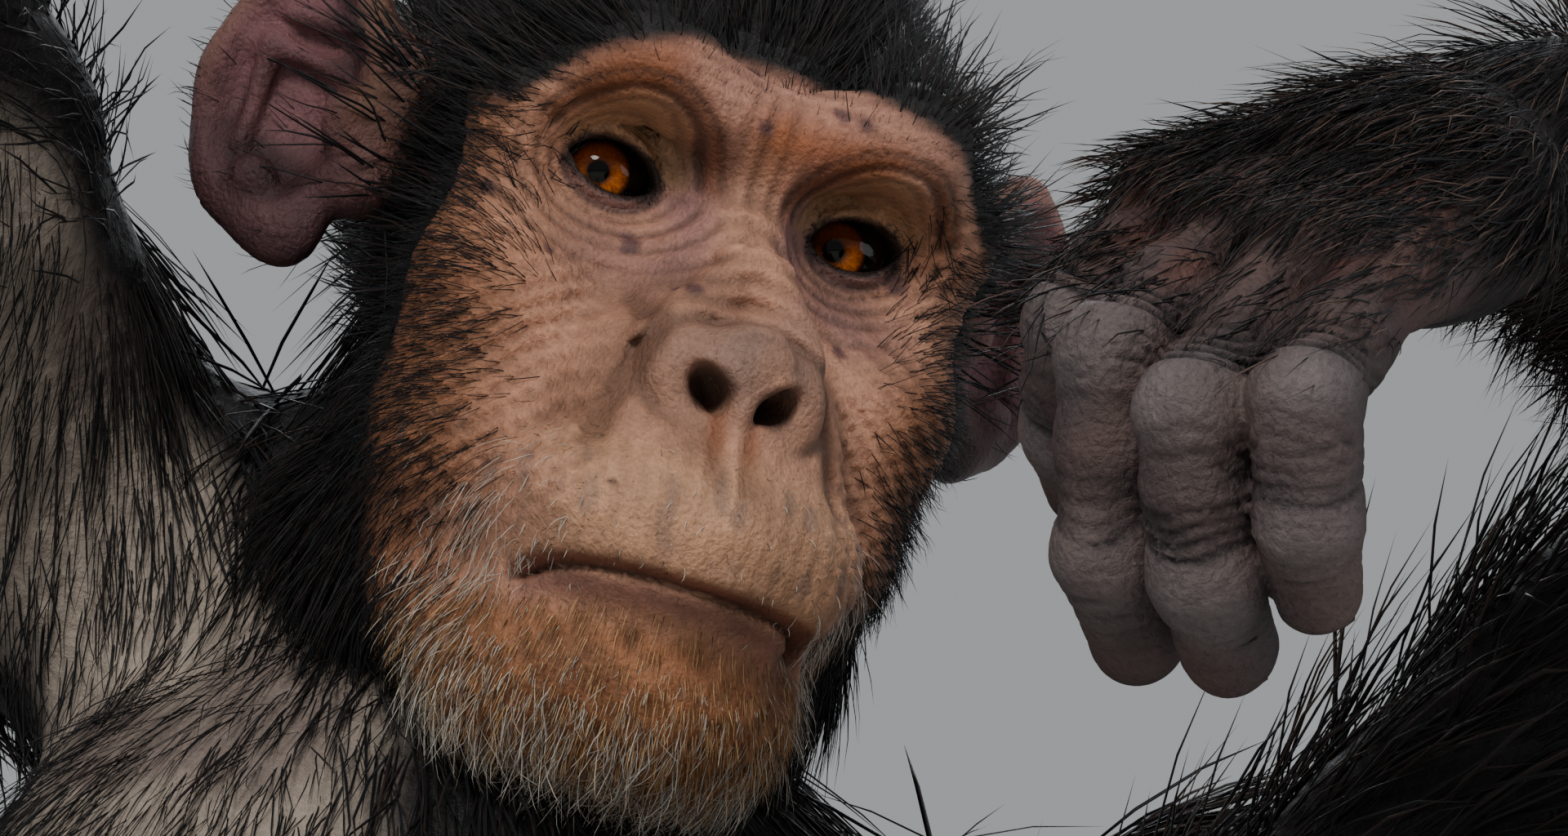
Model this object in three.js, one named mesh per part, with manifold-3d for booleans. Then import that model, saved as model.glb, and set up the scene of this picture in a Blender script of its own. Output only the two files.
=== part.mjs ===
// A seated chimpanzee, life-size, in millimetres, +Z up, facing -Y.
// Its left forearm lies over the raised left knee with the hand hanging,
// and its right hand rests on its head. Places are measured from the point
// midway between the eyes, with height counted from the floor.
import * as THREE from "three";
import { mergeVertices } from "three/addons/utils/BufferGeometryUtils.js";
import Module from "manifold-3d";

const wasm = await Module();
wasm.setup();
const { Manifold, Mesh } = wasm;

// Driving sizes
const EYE_HEIGHT = 428;
const HEAD_TURN = { yaw: 1.71, pitch: 7.14, roll: 13.83 };
const GAP = 0.3;
const EYE_RADIUS = 11;
const EYE_SPREAD = 25.5;
const EYE_SET_BACK = 2;
const LID_THICKNESS = 2.2;
const HEAD_COAT = 8;
const BODY_COAT = 7;

// Joints of the skeleton, x and y from the eyes, z from the floor
const JOINT = {
  shoulderL: [52, 96, 262],
  elbowL: [283, -64, 320],
  wristL: [86, -212, 396],
  shoulderR: [-120, 122, 398],
  elbowR: [-235, -85, 565],
  wristR: [-48, 76, 556],
  hipL: [22, 36, 108],
  kneeL: [139, -136, 312],
  ankleL: [168, -160, 68],
  hipR: [-112, 42, 104],
  kneeR: [-294, -166, 190],
  ankleR: [-146, -276, 60],
};

// Joints of the fingers from knuckle to tip, and how thick each finger is
const FINGERS_L = {
  index: [[10, -225, 380], [-13, -240, 353], [-7, -221, 340], [3, -203, 331]],
  middle: [[15, -241, 370], [-15, -264, 343], [-12, -252, 312], [1, -235, 296]],
  ring: [[21, -258, 363], [-7, -280, 331], [-1, -269, 306], [11, -251, 293]],
  little: [[29, -273, 357], [7, -294, 331], [10, -287, 312], [19, -270, 300]],
};
const THUMB_L = [[57, -218, 378], [33, -225, 357], [21, -227, 346], [13, -229, 337]];
const FINGERS_R = {
  index: [[8, 70, 548], [46, 92, 540], [66, 104, 520], [74, 108, 502]],
  middle: [[16, 90, 546], [53, 116, 532], [70, 128, 508], [74, 130, 488]],
  ring: [[16, 110, 540], [48, 140, 520], [60, 150, 494], [62, 149, 476]],
  little: [[10, 127, 532], [34, 152, 512], [42, 158, 492], [44, 156, 478]],
};
const THUMB_R = [[-30, 58, 540], [-8, 42, 536], [10, 36, 528], [24, 34, 520]];
const FINGER_RADIUS = { index: 8.6, middle: 9.2, ring: 8.9, little: 7.8, thumb: 7.6 };

const UPPER_ARM_RADII = [40, 41, 39, 35, 31, 30];
const THIGH_RADII = [62, 64, 61, 55, 48, 43];
const SHIN_RADII = [42, 42, 41, 35, 27, 23, 23];

// Feet: from the heel to the ball, then the toes
const TOE_LENGTH = [42, 42, 38, 34];
const BIG_TOE_LENGTH = 56;
const FOOT_HEADING = { left: [0.1, -1, 0], right: [-0.35, -0.94, 0] };

// Colours of the parts
const FUR = { color: 0x17140f, roughness: 0.8, metalness: 0 };
const FACE = { color: 0x9a6a4a, roughness: 0.6, metalness: 0 };
const SKIN = { color: 0x5c4a42, roughness: 0.65, metalness: 0 };
const EYE = { color: 0x7a3c10, roughness: 0.1, metalness: 0 };

// Vector helpers on plain arrays
const add = (a, b) => [a[0] + b[0], a[1] + b[1], a[2] + b[2]];
const sub = (a, b) => [a[0] - b[0], a[1] - b[1], a[2] - b[2]];
const mul = (a, s) => [a[0] * s, a[1] * s, a[2] * s];
const dot = (a, b) => a[0] * b[0] + a[1] * b[1] + a[2] * b[2];
const cross = (a, b) => [
  a[1] * b[2] - a[2] * b[1],
  a[2] * b[0] - a[0] * b[2],
  a[0] * b[1] - a[1] * b[0],
];
const size = (a) => Math.sqrt(dot(a, a));
const unit = (a) => mul(a, 1 / size(a));
const mix = (a, b, t) => add(mul(a, 1 - t), mul(b, t));
const clamp = (x, lo, hi) => Math.min(hi, Math.max(lo, x));
const step = (lo, hi, x) => {
  const t = clamp((x - lo) / (hi - lo), 0, 1);
  return t * t * (3 - 2 * t);
};

// Distance fields: how far a point is outside a form
const ball = (c, r) => (p) => {
  const q = sub(p, c);
  const n = [q[0] / r[0], q[1] / r[1], q[2] / r[2]];
  const k0 = size(n);
  const k1 = size([n[0] / r[0], n[1] / r[1], n[2] / r[2]]);
  return k1 < 1e-9 ? -Math.min(...r) : (k0 * (k0 - 1)) / k1;
};

const bone = (a, b, ra, rb) => (p) => {
  const ab = sub(b, a);
  const t = clamp(dot(sub(p, a), ab) / dot(ab, ab), 0, 1);
  return size(sub(p, add(a, mul(ab, t)))) - (ra + (rb - ra) * t);
};

const joinSoftly = (a, b, k) => {
  const h = Math.max(k - Math.abs(a - b), 0) / k;
  return Math.min(a, b) - h * h * k * 0.25;
};

const carveSoftly = (a, b, k) => -joinSoftly(-a, b, k);

// A field made of [form, softness] pairs joined in turn
const blend = (forms) => (p) => {
  let d = forms[0][0](p);
  for (let i = 1; i < forms.length; i += 1) d = joinSoftly(d, forms[i][0](p), forms[i][1]);
  return d;
};

// A list of faces as a solid, turned right side out
function solidFrom(points, faces) {
  const g = new THREE.BufferGeometry();
  g.setAttribute("position", new THREE.Float32BufferAttribute(points.flat(), 3));
  g.setIndex(faces.flat());
  const made = solidOf(g);
  if (made.volume() > 0) return made;
  g.setIndex(faces.flatMap((f) => [f[0], f[2], f[1]]));
  return solidOf(g);
}

function solidOf(geometry) {
  const g = geometry.clone();
  g.deleteAttribute("normal");
  g.deleteAttribute("uv");
  const merged = mergeVertices(g, 1e-3);
  const made = new Manifold(
    new Mesh({
      numProp: 3,
      vertProperties: merged.attributes.position.array,
      triVerts: new Uint32Array(merged.index.array),
    }),
  );
  return made;
}

function geometryOf(solid) {
  const m = solid.getMesh();
  const points = new Float32Array(m.numVert * 3);
  for (let i = 0; i < m.numVert; i += 1) {
    points.set(m.vertProperties.subarray(i * m.numProp, i * m.numProp + 3), i * 3);
  }
  const g = new THREE.BufferGeometry();
  g.setAttribute("position", new THREE.BufferAttribute(points, 3));
  g.setIndex(new THREE.BufferAttribute(m.triVerts, 1));
  g.computeVertexNormals();
  return g;
}

// The largest closed surface of a solid
function largest(solid) {
  return solid.decompose().reduce((a, b) => (b.volume() > a.volume() ? b : a));
}

// Where a ray from inside a field leaves it
function leave(field, from, along, reach) {
  let inside = 0;
  let outside = reach;
  for (let t = reach; t > 0; t -= reach / 45) {
    if (field(add(from, mul(along, t))) < 0) {
      inside = t;
      break;
    }
    outside = t;
  }
  for (let i = 0; i < 18; i += 1) {
    const middle = (inside + outside) / 2;
    if (field(add(from, mul(along, middle))) < 0) inside = middle;
    else outside = middle;
  }
  return add(from, mul(along, (inside + outside) / 2));
}

// A field's surface on the net of a grid of cells, the grid moved on a little
// whenever two sheets of the surface meet along one edge of it
function surfaceNet(field, low, high, cell) {
  for (let i = 0; i < 12; i += 1) {
    const shift = [0.37 * i, 0.61 * i, 0.83 * i].map((x) => -(x % 1) * cell);
    try {
      return netOnce(field, add(low, shift), high, cell);
    } catch (error) {
      if (i === 11) throw error;
    }
  }
  return null;
}

// A point moved onto the surface of a field
function ontoSurface(field, start, furthest) {
  let p = start;
  for (let round = 0; round < 3; round += 1) {
    const d = field(p);
    const slope = [0, 1, 2].map((k) => {
      const q = [...p];
      q[k] += 0.5;
      return (field(q) - d) / 0.5;
    });
    p = sub(p, mul(slope, clamp(d / dot(slope, slope), -furthest, furthest)));
  }
  return p;
}

// One corner in each cell that the surface crosses, joined across the cell edges
function netOnce(field, low, high, cell) {
  const n = [0, 1, 2].map((k) => Math.ceil((high[k] - low[k]) / cell) + 1);
  const at = (i, j, k) => [low[0] + i * cell, low[1] + j * cell, low[2] + k * cell];
  const id = (i, j, k) => i + n[0] * (j + n[1] * k);
  const value = new Float64Array(n[0] * n[1] * n[2]);
  for (let k = 0; k < n[2]; k += 1)
    for (let j = 0; j < n[1]; j += 1)
      for (let i = 0; i < n[0]; i += 1) value[id(i, j, k)] = field(at(i, j, k));
  const corners = [0, 1, 2, 3, 4, 5, 6, 7].map((c) => [c & 1, (c >> 1) & 1, (c >> 2) & 1]);
  const edges = [];
  for (let a = 0; a < 8; a += 1)
    for (let b = a + 1; b < 8; b += 1)
      if (size(sub(corners[a], corners[b])) === 1) edges.push([a, b]);
  const place = new Map();
  const points = [];
  for (let k = 0; k < n[2] - 1; k += 1)
    for (let j = 0; j < n[1] - 1; j += 1)
      for (let i = 0; i < n[0] - 1; i += 1) {
        const inside = corners.map((c) => value[id(i + c[0], j + c[1], k + c[2])] < 0);
        const group = [0, 1, 2, 3, 4, 5, 6, 7];
        for (let round = 0; round < 4; round += 1)
          for (const [a, b] of edges)
            if (inside[a] && inside[b]) {
              const least = Math.min(group[a], group[b]);
              group[a] = least;
              group[b] = least;
            }
        const found = new Map();
        for (const [a, b] of edges) {
          if (inside[a] === inside[b]) continue;
          const key = group[inside[a] ? a : b];
          if (!found.has(key)) found.set(key, { sum: [0, 0, 0], count: 0 });
          const one = found.get(key);
          const ca = corners[a];
          const cb = corners[b];
          const va = value[id(i + ca[0], j + ca[1], k + ca[2])];
          const vb = value[id(i + cb[0], j + cb[1], k + cb[2])];
          one.sum = add(one.sum, mix(ca, cb, va / (va - vb)));
          one.count += 1;
        }
        for (const [key, one] of found) {
          const start = add(at(i, j, k), mul(one.sum, cell / one.count));
          corners.forEach((c, m) => {
            if (inside[m] && group[m] === key) place.set(8 * id(i, j, k) + m, points.length);
          });
          points.push(ontoSurface(field, start, cell / 3));
        }
      }
  const faces = [];
  const axes = [
    [1, 0, 0],
    [0, 1, 0],
    [0, 0, 1],
  ];
  for (let k = 1; k < n[2] - 1; k += 1)
    for (let j = 1; j < n[1] - 1; j += 1)
      for (let i = 1; i < n[0] - 1; i += 1)
        for (let m = 0; m < 3; m += 1) {
          const e = axes[m];
          const va = value[id(i, j, k)];
          const vb = value[id(i + e[0], j + e[1], k + e[2])];
          if (va < 0 === vb < 0) continue;
          const u = axes[(m + 1) % 3];
          const w = axes[(m + 2) % 3];
          const held = va < 0 ? [0, 0, 0] : e;
          const q = [
            [0, 0],
            [1, 0],
            [1, 1],
            [0, 1],
          ].map(([a, b]) => {
            const away = add(mul(u, a), mul(w, b));
            const corner = add(held, away);
            return place.get(
              8 * id(i - away[0], j - away[1], k - away[2]) +
                corner[0] + 2 * corner[1] + 4 * corner[2],
            );
          });
          if (vb < 0) q.reverse();
          const shortFirst =
            size(sub(points[q[0]], points[q[2]])) < size(sub(points[q[1]], points[q[3]]));
          if (shortFirst) faces.push([q[0], q[1], q[2]], [q[0], q[2], q[3]]);
          else faces.push([q[1], q[2], q[3]], [q[1], q[3], q[0]]);
        }
  return solidFrom(points, faces);
}

// A closed tube through stations {c: centre, w: half width, h: half height},
// its width along the given side, with round ends
function tube(stations, side, sides, grow = 0) {
  const rings = [];
  const count = stations.length;
  const frameAt = (i) => {
    const t = unit(sub(stations[Math.min(i + 1, count - 1)].c, stations[Math.max(i - 1, 0)].c));
    const s = unit(sub(side, mul(t, dot(side, t))));
    return { t, s, u: cross(t, s) };
  };
  const ring = (c, f, w, h) => {
    const made = [];
    for (let k = 0; k < sides; k += 1) {
      const a = (2 * Math.PI * (k + 0.5)) / sides;
      made.push(add(c, add(mul(f.s, Math.cos(a) * w), mul(f.u, Math.sin(a) * h))));
    }
    return made;
  };
  const caps = stations[0].w < 14 ? [50] : [35, 65];
  stations.forEach((st, i) => {
    const f = frameAt(i);
    const w = st.w + grow;
    const h = (st.h ?? st.w) + grow;
    const depth = Math.min(w, h) * (st.cap ?? 1);
    const capRings = caps.map((deg) => {
      const a = (deg * Math.PI) / 180;
      return { out: Math.sin(a) * depth, keep: Math.cos(a) };
    });
    if (i === 0) {
      rings.push([sub(st.c, mul(f.t, depth))]);
      capRings
        .slice()
        .reverse()
        .forEach((r) => rings.push(ring(sub(st.c, mul(f.t, r.out)), f, w * r.keep, h * r.keep)));
    }
    rings.push(ring(st.c, f, w, h));
    if (i === count - 1) {
      capRings.forEach((r) =>
        rings.push(ring(add(st.c, mul(f.t, r.out)), f, w * r.keep, h * r.keep)),
      );
      rings.push([add(st.c, mul(f.t, depth))]);
    }
  });
  return skinOf(rings, sides);
}

// Joins rings of points, the first and last of which are single points
function skinOf(rings, sides) {
  const points = rings.flat();
  const start = [];
  let n = 0;
  rings.forEach((r) => {
    start.push(n);
    n += r.length;
  });
  const faces = [];
  for (let i = 0; i + 1 < rings.length; i += 1) {
    for (let k = 0; k < sides; k += 1) {
      const l = (k + 1) % sides;
      const a = rings[i].length === 1 ? start[i] : start[i] + k;
      const b = rings[i].length === 1 ? start[i] : start[i] + l;
      const c = rings[i + 1].length === 1 ? start[i + 1] : start[i + 1] + k;
      const d = rings[i + 1].length === 1 ? start[i + 1] : start[i + 1] + l;
      if (a !== b) faces.push([a, b, d]);
      if (c !== d) faces.push([a, d, c]);
    }
  }
  return solidFrom(points, faces);
}

// The head's own frame, at the point between the eyes
const headMatrix = new THREE.Matrix4()
  .makeRotationFromEuler(
    new THREE.Euler(
      THREE.MathUtils.degToRad(HEAD_TURN.pitch),
      THREE.MathUtils.degToRad(HEAD_TURN.roll),
      THREE.MathUtils.degToRad(HEAD_TURN.yaw),
      "YXZ",
    ),
  )
  .setPosition(0, 0, EYE_HEIGHT);
const intoWorld = (solid) => solid.transform(headMatrix.toArray());
const headPoint = (p) => new THREE.Vector3(...p).applyMatrix4(headMatrix).toArray();

// Both sides of a form of the head
const pair = (form, softness) => [
  [form(1), softness],
  [form(-1), softness],
];
const side = (s, p) => [s * p[0], p[1], p[2]];

const eyeCentre = (s) => [s * EYE_SPREAD, EYE_SET_BACK, 0];

// The bare head: braincase, brow, cheeks, muzzle, nose and jaw
const headForms = [
  [ball([0, 68, 18], [57, 75, 56]), 0],
  [ball([0, 40, -12], [52, 50, 42]), 14],
  ...pair((s) => bone(side(s, [6, -13, 15]), side(s, [29, -13, 20]), 10, 11.5), 6),
  ...pair((s) => bone(side(s, [29, -13, 20]), side(s, [44, -1, 8]), 11.5, 9), 6),
  ...pair((s) => bone(side(s, [44, -1, 8]), side(s, [42, 2, -22]), 9, 11), 8),
  ...pair((s) => ball(side(s, [38, 0, -30]), [18, 20, 16]), 10),
  [ball([0, 8, -22], [42, 26, 32]), 10],
  [bone([0, -2, 8], [0, -22, -30], 11, 15), 10],
  [ball([0, -20, -47], [30, 30, 24]), 12],
  [ball([0, -27, -69], [38, 36, 22]), 12],
  [ball([2, -17, -94], [33, 32, 22]), 9],
  ...pair((s) => bone(side(s, [18, -8, -96]), side(s, [38, 38, -70]), 18, 19), 14),
  ...pair((s) => ball(side(s, [37, 10, -54]), [18, 28, 24]), 12),
  [ball([0, 30, -72], [40, 42, 30]), 14],
  [ball([0, -45, -37], [13, 10, 11]), 8],
  ...pair((s) => ball(side(s, [11, -41, -43]), [8.5, 9, 7.5]), 6),
];
const bareHead = blend(headForms);

const lidField = (p) =>
  Math.min(
    size(sub(p, eyeCentre(1))) - EYE_RADIUS - LID_THICKNESS,
    size(sub(p, eyeCentre(-1))) - EYE_RADIUS - LID_THICKNESS,
  );
const socket = (p) =>
  Math.min(
    ball([26, -19, -3], [15, 12, 10])(p),
    ball([-26, -19, -3], [15, 12, 10])(p),
  );
const faceField = (p) => joinSoftly(carveSoftly(bareHead(p), socket(p), 7), lidField(p), 3.5);

// How far the coat covers the head at a point: 0 on the bare face, 1 behind the hairline
function headCoat(p) {
  const crown = step(-8, 8, p[1] + (p[2] - 34) * 0.5);
  const flank = step(2, 26, p[1] + 0.2 * (Math.abs(p[0]) - 48));
  return p[2] > 10 ? Math.max(crown * step(16, 34, p[2]), flank) : flank;
}
const headField = (p) => faceField(p) - HEAD_COAT * headCoat(p);

// The head's surface on rings round the line of sight, close on the face
function headSurface(field, sectors, faceRings, backRings) {
  const from = [0, 22, -24];
  const rings = [];
  const total = faceRings + backRings;
  for (let i = 0; i <= total; i += 1) {
    const tilt = i <= faceRings ? (78 * i) / faceRings : 78 + (102 * (i - faceRings)) / backRings;
    const a = (tilt * Math.PI) / 180;
    const lone = i === 0 || i === total;
    const made = [];
    for (let k = 0; k < (lone ? 1 : sectors); k += 1) {
      const b = (2 * Math.PI * (k + 0.5)) / sectors;
      const along = [Math.sin(a) * Math.cos(b), -Math.cos(a), Math.sin(a) * Math.sin(b)];
      made.push(leave(field, from, unit(along), 190));
    }
    rings.push(made);
  }
  return skinOf(rings, sectors);
}

// The line of the mouth across the muzzle, from corner to corner
const MOUTH = { halfWidth: 37, height: -81, bow: 3, drop: 5 };
function mouthCut() {
  const stations = [];
  for (let i = -4; i <= 4; i += 1) {
    const t = i / 4;
    const a = t * 1.12;
    const z = MOUTH.height + MOUTH.bow * (1 - t * t) - MOUTH.drop * t ** 4;
    const out = [Math.sin(a) * 1.0, -Math.cos(a), 0];
    const lip = leave(faceField, [0, -18, z], unit(out), 60);
    stations.push({ c: lip, w: 3.2, h: 0.9 });
  }
  return tube(stations, [0, -1, 0], 6);
}

// Nostrils: two slanting pits that open forward and down
function nostril(s) {
  const out = unit([s * 0.25, -1, -0.28]);
  const mouth = leave(faceField, [s * 6, -30, -42], out, 40);
  return tube(
    [
      { c: sub(mouth, mul(out, 7)), w: 3.2, h: 2.2 },
      { c: mouth, w: 4.6, h: 3.4 },
      { c: add(mouth, mul(out, 2)), w: 5, h: 3.8 },
    ],
    unit([s * 0.8, 0, -0.6]),
    8,
  );
}

// The almond opening between the lids
function lidOpening(s) {
  const stations = [];
  const c = eyeCentre(s);
  for (let i = -3; i <= 3; i += 1) {
    const t = i / 3;
    const half = 4.6 * Math.sqrt(Math.max(0, 1 - Math.abs(t) ** 2.2)) + 0.4;
    const at = [c[0] + t * 8.6, c[1] - EYE_RADIUS - 0.5, c[2] - 0.6 - 0.6 * t * s];
    stations.push({ c: at, w: 5, h: half });
  }
  return tube(stations, [0, -1, 0], 8);
}

function sphere(c, r, detail = 3) {
  return solidOf(new THREE.IcosahedronGeometry(r, detail).translate(...c));
}

// The ear: a cupped dish with a rolled rim, facing forward and outward
function ear(s) {
  const centre = [s * 76, 55, 5];
  const out = unit([s * 0.78, 0.62, 0.08]);
  const face = unit([s * 0.62, -0.78, 0]);
  const up = cross(out, face)[2] > 0 ? cross(out, face) : mul(cross(out, face), -1);
  const local = (p) => {
    const q = sub(p, centre);
    return [dot(q, out), dot(q, face), dot(q, up)];
  };
  const dish = ball([0, 0, 0], [21, 8, 31]);
  const hollow = ball([1, 8, 1], [14.5, 8.5, 24]);
  const root = bone([-22, -2, 12], [-20, -2, -14], 7, 7);
  const lobe = ball([-6, 0, -27], [9, 5, 8]);
  const field = (p) => {
    const q = local(p);
    const body = joinSoftly(joinSoftly(dish(q), root(q), 6), lobe(q), 5);
    return carveSoftly(body, hollow(q), 3);
  };
  const low = [centre[0] - 36, centre[1] - 36, centre[2] - 44];
  const high = [centre[0] + 36, centre[1] + 36, centre[2] + 44];
  return surfaceNet(field, low, high, 6.5).simplify(0.45);
}

// The part of a solid beyond a plane that lies nearest to a point
function beyond(solid, at, along, near, shift) {
  const n = unit(along);
  const parts = solid.trimByPlane(n, dot(n, at) + shift).decompose();
  const distance = (part) => {
    const m = part.getMesh();
    let best = Infinity;
    for (let i = 0; i < m.numVert; i += 1) {
      const v = m.vertProperties.subarray(i * m.numProp, i * m.numProp + 3);
      best = Math.min(best, size(sub([...v], near)));
    }
    return best;
  };
  return parts.map((part) => [distance(part), part]).sort((a, b) => a[0] - b[0])[0][1];
}

const J = JOINT;
const along = (a, b, t) => mix(J[a], J[b], t);

// Trunk, neck and limbs under their coat
const trunkForms = [
  [ball([-46, 62, 84], [96, 80, 86]), 0],
  [ball([-46, 38, 165], [98, 84, 88]), 40],
  [ball([-38, 80, 262], [100, 84, 94]), 40],
  [bone(J.shoulderL, J.shoulderR, 38, 40), 30],
  [bone([-30, 104, 345], [-2, 78, 412], 50, 44), 30],
  [bone(J.shoulderL, along("shoulderL", "elbowL", 0.25), 38, 34), 26],
  [bone(J.shoulderR, along("shoulderR", "elbowR", 0.25), 39, 34), 26],
];
const hipForms = [
  [bone(J.hipL, along("hipL", "kneeL", 0.25), 58, 54), 30],
  [bone(J.hipR, along("hipR", "kneeR", 0.25), 58, 54), 30],
];
const bodySkin = blend([...trunkForms, ...hipForms]);

// The coat thins out over the chest and the belly
function bodyCoat(p) {
  const chest = step(40, -10, p[1]) * step(70, 20, Math.abs(p[0] + 45)) * step(120, 160, p[2]);
  return 1 - 0.6 * chest * step(380, 340, p[2]);
}
const bodyField = (p) => bodySkin(p) - BODY_COAT * bodyCoat(p);

// The head, with eyes, lids, nostrils and mouth
const headGrown = intoWorld(headSurface((p) => headField(p) - GAP, 36, 17, 7));
let head = headSurface(headField, 36, 17, 7);
for (const s of [1, -1]) {
  head = head.subtract(sphere(eyeCentre(s), EYE_RADIUS + GAP, 2));
  head = head.subtract(lidOpening(s));
  head = head.subtract(nostril(s));
}
head = largest(head.subtract(mouthCut()));

// Hair of the head: crown and nape, whiskers along the cheeks, and the beard
const headRays = [];
for (const [tilt, count] of [
  [20, 5],
  [50, 6],
  [82, 7],
]) {
  for (let k = 0; k < count; k += 1) {
    const a = THREE.MathUtils.degToRad(((k + 0.5) / count - 0.5) * 200);
    const e = THREE.MathUtils.degToRad(tilt);
    const aim = [Math.sin(a) * Math.sin(e), Math.cos(a) * Math.sin(e), Math.cos(e)];
    const flow = [0.25 * aim[0], 1 - 0.8 * Math.sin(e), -0.5 - Math.sin(e)];
    headRays.push({ from: [0, 66, 14], aim, flow });
  }
}
const whiskerRays = [1, -1].flatMap((s) =>
  [
    [-36, 21],
    [-52, 25],
    [-68, 29],
    [-44, 43],
    [-62, 47],
  ].map(([z, y]) => ({
    from: [0, y, z],
    aim: [s, -0.1, 0],
    flow: [s * 0.35, 0.55, -0.75],
  })),
);
const beardRays = [-24, -12, 0, 12, 24, -14, 14].map((x, i) => ({
  from: [x * 0.4, i < 5 ? 0 : 18, -88],
  aim: [x * 0.03, i < 5 ? -0.35 : 0.1, -1],
  flow: [x * 0.01, i < 5 ? 0.1 : 0.45, -1],
}));
head = withLocks(head, [
  ...locksOn(headField, headRays, 11, { length: 36, width: 20, rise: 7 }),
  ...locksOn(headField, whiskerRays, 12, { length: 30, width: 15, rise: 9 }),
  ...locksOn(headField, beardRays, 13, { length: 22, width: 11, rise: 6 }),
]);
head = intoWorld(head);

// A solid with each corner moved out along the mean of its faces
function grow(solid, by) {
  const g = geometryOf(solid);
  const p = g.attributes.position.array;
  const n = g.attributes.normal.array;
  const moved = new Float32Array(p.length);
  for (let i = 0; i < p.length; i += 1) moved[i] = p[i] + n[i] * by;
  g.setAttribute("position", new THREE.BufferAttribute(moved, 3));
  return solidOf(g);
}

// A repeatable source of numbers from 0 to 1
function numbers(seed) {
  let state = seed;
  return () => {
    state = (state * 1664525 + 1013904223) % 4294967296;
    return state / 4294967296;
  };
}

// A flat lock of hair that tapers to a tip and bends along the coat
function lock(root, out, flow, length, width, rise) {
  const across = unit(cross(out, flow));
  const path = [
    [-0.12, -5, 0.75, 3.4],
    [0.3, 1.5, 1, 3],
    [0.68, rise * 0.6, 0.72, 2.2],
  ];
  const rings = path.map(([ahead, up, wide, thick]) => {
    const c = add(root, add(mul(flow, ahead * length), mul(out, up)));
    return [
      add(c, mul(across, (wide * width) / 2)),
      add(c, mul(out, thick)),
      sub(c, mul(across, (wide * width) / 2)),
      sub(c, mul(out, thick)),
    ];
  });
  const tip = add(root, add(mul(flow, length), mul(out, rise)));
  const first = sub(rings[0].reduce((sum, p) => add(sum, mul(p, 0.25)), [0, 0, 0]), mul(out, 1));
  return skinOf([[first], ...rings, [tip]], 4);
}

// Locks rooted where rays from inside a field leave it; each ray comes with
// the way its hair lies, and the field is the core of the coat
function locksOn(field, rays, seed, { length, width, rise }) {
  const random = numbers(seed);
  return rays.map(({ from, aim, flow }) => {
    const root = leave(field, from, unit(aim), 170);
    const slope = [0, 1, 2].map((k) => {
      const q = [...root];
      q[k] += 1;
      return field(q) - field(root);
    });
    const out = unit(slope);
    const lie = unit(sub(flow, mul(out, dot(flow, out))));
    const turned = unit(add(lie, mul(cross(out, lie), 0.5 * (random() - 0.5))));
    const l = length * (0.8 + 0.4 * random());
    return lock(root, out, turned, l, width * (0.85 + 0.3 * random()), rise);
  });
}

// Rays out of a limb, in rows along it and round it, from angle a to angle b
function limbRays(from, to, up, rows, columns, a, b, flow) {
  const axis = unit(sub(to, from));
  const u = unit(sub(up, mul(axis, dot(up, axis))));
  const w = cross(axis, u);
  const rays = [];
  for (let i = 0; i < rows; i += 1)
    for (let k = 0; k < columns; k += 1) {
      const turn = a + ((b - a) * (k + 0.5 * (i % 2))) / Math.max(1, columns - 0.5);
      const angle = THREE.MathUtils.degToRad(turn);
      const aim = add(mul(u, Math.cos(angle)), mul(w, Math.sin(angle)));
      rays.push({ from: mix(from, to, (i + 0.5) / rows), aim, flow });
    }
  return rays;
}

function withLocks(solid, locks) {
  return largest(Manifold.union([solid, ...locks]));
}

// Takes down a part, first clearing it of every part already there
const placed = [];
function put(name, solid, look, room = null) {
  let rest = solid;
  for (const other of placed) {
    if (rest.intersect(other.solid).volume() < 1e-6) continue;
    if (!other.room) other.room = grow(other.solid, GAP * 1.15);
    rest = largest(rest.subtract(other.room).subtract(other.solid));
  }
  placed.push({ name, solid: rest, look, room });
}

// One closed surface with no two corners closer than the files can tell apart
function settled(solid) {
  let rest = largest(solid);
  for (let i = 0; i < 5; i += 1) rest = largest(solidOf(geometryOf(rest)));
  return rest;
}

const floorTrim = (solid) => solid.trimByPlane([0, 0, 1], 0);

// The trunk on one net
let torso = surfaceNet(bodyField, [-250, -110, -28], [200, 220, 500], 30);
torso = floorTrim(torso);
// Upper arm, thigh and shin: tubes that swell with the muscle and thin toward the joint
function limbTube(from, to, radii, width, more = BODY_COAT) {
  const stations = radii.map((r, i) => {
    const t = i / (radii.length - 1);
    const bulge = Math.sin(Math.PI * t);
    const back = [0, 0.2 * bulge * r * 0.3, 0];
    return { c: add(mix(from, to, t), back), w: r + more, h: (r + more) * 1.04 };
  });
  return tube(stations, width, 12);
}
const bisector = (a, b, c) => unit(add(unit(sub(b, a)), unit(sub(c, b))));

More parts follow.
